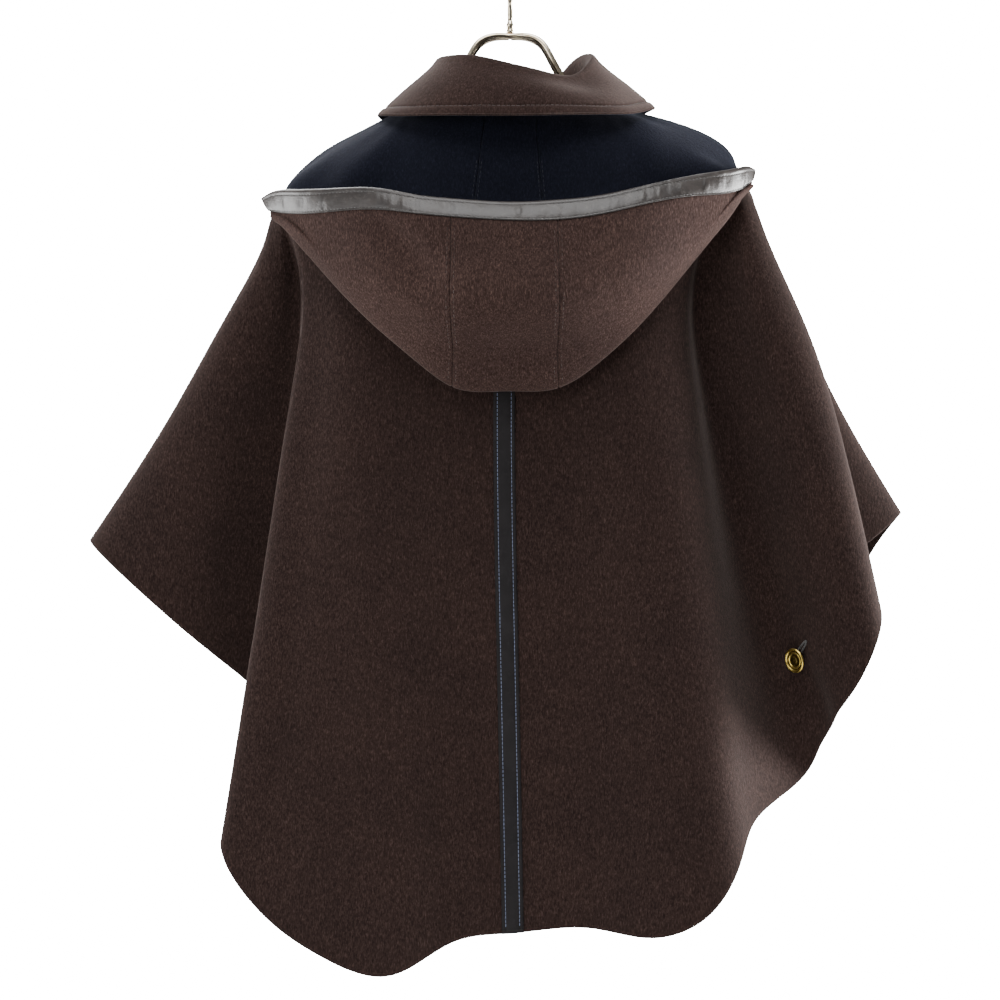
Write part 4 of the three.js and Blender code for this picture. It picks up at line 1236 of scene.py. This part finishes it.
def hanger_half(side):
    """One side of the loop, a wire out along the arm and back: its run, its tip and its return."""
    crest = place_of("left crest" if side < 0 else "right crest")

    def below(v, depth):
        us, vs = np.array([crest]), np.array([v])
        down = unit(cape.along_v(us, vs)[0])
        lean = np.array([0.0, 0.0, 1.0])
        lean = unit(lean - down * lean.dot(down))
        point = cape.at(us, vs)[0] - lean * ARM_DROP
        return np.array([point[0], depth, point[2]])

    run = [np.array([side * x, y, z], float) for x, y, z in BRIDGE_HALF]
    run += [below(v, WIRE_SPREAD) for v in ARM_PARTS]
    back = [point * (1, -1, 1) for point in run[::-1]]
    return run, below(TIP_PART, 0), back


def make_hanger():
    right_run, right_tip, right_back = hanger_half(1)
    left_run, left_tip, left_back = hanger_half(-1)
    middle = np.array([0, -BRIDGE_HALF[0][1], BRIDGE_TOP_Z])
    route = [*right_run, right_tip, *right_back[:-1], middle, *left_back[::-1][1:], left_tip, *left_run[::-1]]
    wires = tube("hanger_wires", route, WIRE_RADIUS, steps=420, sides=14, material=CHROME)
    dress(wires, "hanger_metal", "hanger_wire")

    centre_z = HOOK_WIRE_RADIUS - HOOK_RADIUS
    arc = [(0, HOOK_RADIUS * math.cos(math.radians(t)), centre_z + HOOK_RADIUS * math.sin(math.radians(t)))
           for t in stations([215, -25], [9])]
    hook = tube("hook_wire", [*HOOK_STEM, *arc], HOOK_WIRE_RADIUS, steps=120, sides=16, material=CHROME)
    dress(hook, "hanger_metal", "hanger_hook")
    bottom = BRIDGE_TOP_Z + WIRE_RADIUS + SEAM_GAP
    nut = lathe("nut_metal", NUT_PROFILE, 32, [CHROME], (0, 0, bottom), (0, 0, 1))
    dress(nut, "hanger_metal", "hanger_nut")


make_hanger()


# Stage
def make_floor():
    floor_z, radius, sides = -1600, 2600, 96
    ring = [(radius * math.cos(t), radius * math.sin(t), floor_z) for t in circle(sides)]
    nodes = Nodes(bpy.data.materials.new("pale_floor"))
    pale = nodes.ramp(nodes.noise(3, detail=2, roughness=0.5), (0.3, [0.78] * 3), (0.7, [0.82] * 3))
    finish = nodes.finish({"Base Color": pale, "Roughness": 0.8})
    floor = new_object("floor", ring, [tuple(range(sides))], [finish])


def make_world():
    """White for the camera, and for all else a dim room, lighter above and on the left."""
    camera_white, room_light, sideways = 30.0, 0.3, -0.45
    world = bpy.data.worlds.new("studio")
    bpy.context.scene.world = world
    world.use_nodes = True
    world.node_tree.nodes.clear()
    nodes = Nodes(world)
    way = nodes.add("ShaderNodeSeparateXYZ", {0: nodes.coordinates["Generated"]}).outputs
    height = nodes.maths("MULTIPLY_ADD", way["X"], sideways, way["Z"])
    share = nodes.maths("MULTIPLY_ADD", height, 0.5, 0.5)
    room = nodes.ramp(share, (0.30, (0.06, 0.06, 0.065)), (0.85, (1, 1, 1)))
    cast, seen = (
        nodes.add("ShaderNodeBackground", {"Color": colour, "Strength": strength}).outputs[0]
        for colour, strength in ((room, room_light), ((1, 1, 1), camera_white)))
    by_camera = nodes.add("ShaderNodeLightPath").outputs["Is Camera Ray"]
    mixed = nodes.add("ShaderNodeMixShader", {0: by_camera, 1: cast, 2: seen}).outputs[0]
    nodes.add("ShaderNodeOutputWorld", {"Surface": mixed})


# Places, targets and sizes in metres, power in watts
LIGHTS = table("name place target size power", [
    ("key", (0.1, -1.1, 2.1), (0, 0, -0.4), 2.2, 98),
    ("left_front", (-1.7, -1.9, 0.3), (0, 0, -0.6), 1.4, 24),
    ("low_front", (-0.6, -1.5, -1.3), (-0.1, 0, -1.0), 1.0, 7),
    ("rim", (-0.7, 1.4, 1.4), (0, 0, -0.2), 2.0, 80),
    ("right_edge", (2.1, 0.35, -0.45), (0.2, 0, -0.6), 1.2, 190),
    ("left_edge", (-2.2, 0.35, -0.4), (-0.2, 0, -0.6), 1.2, 70),
])

make_camera()
make_floor()
make_world()
for light in LIGHTS:
    add_area_light(**light)
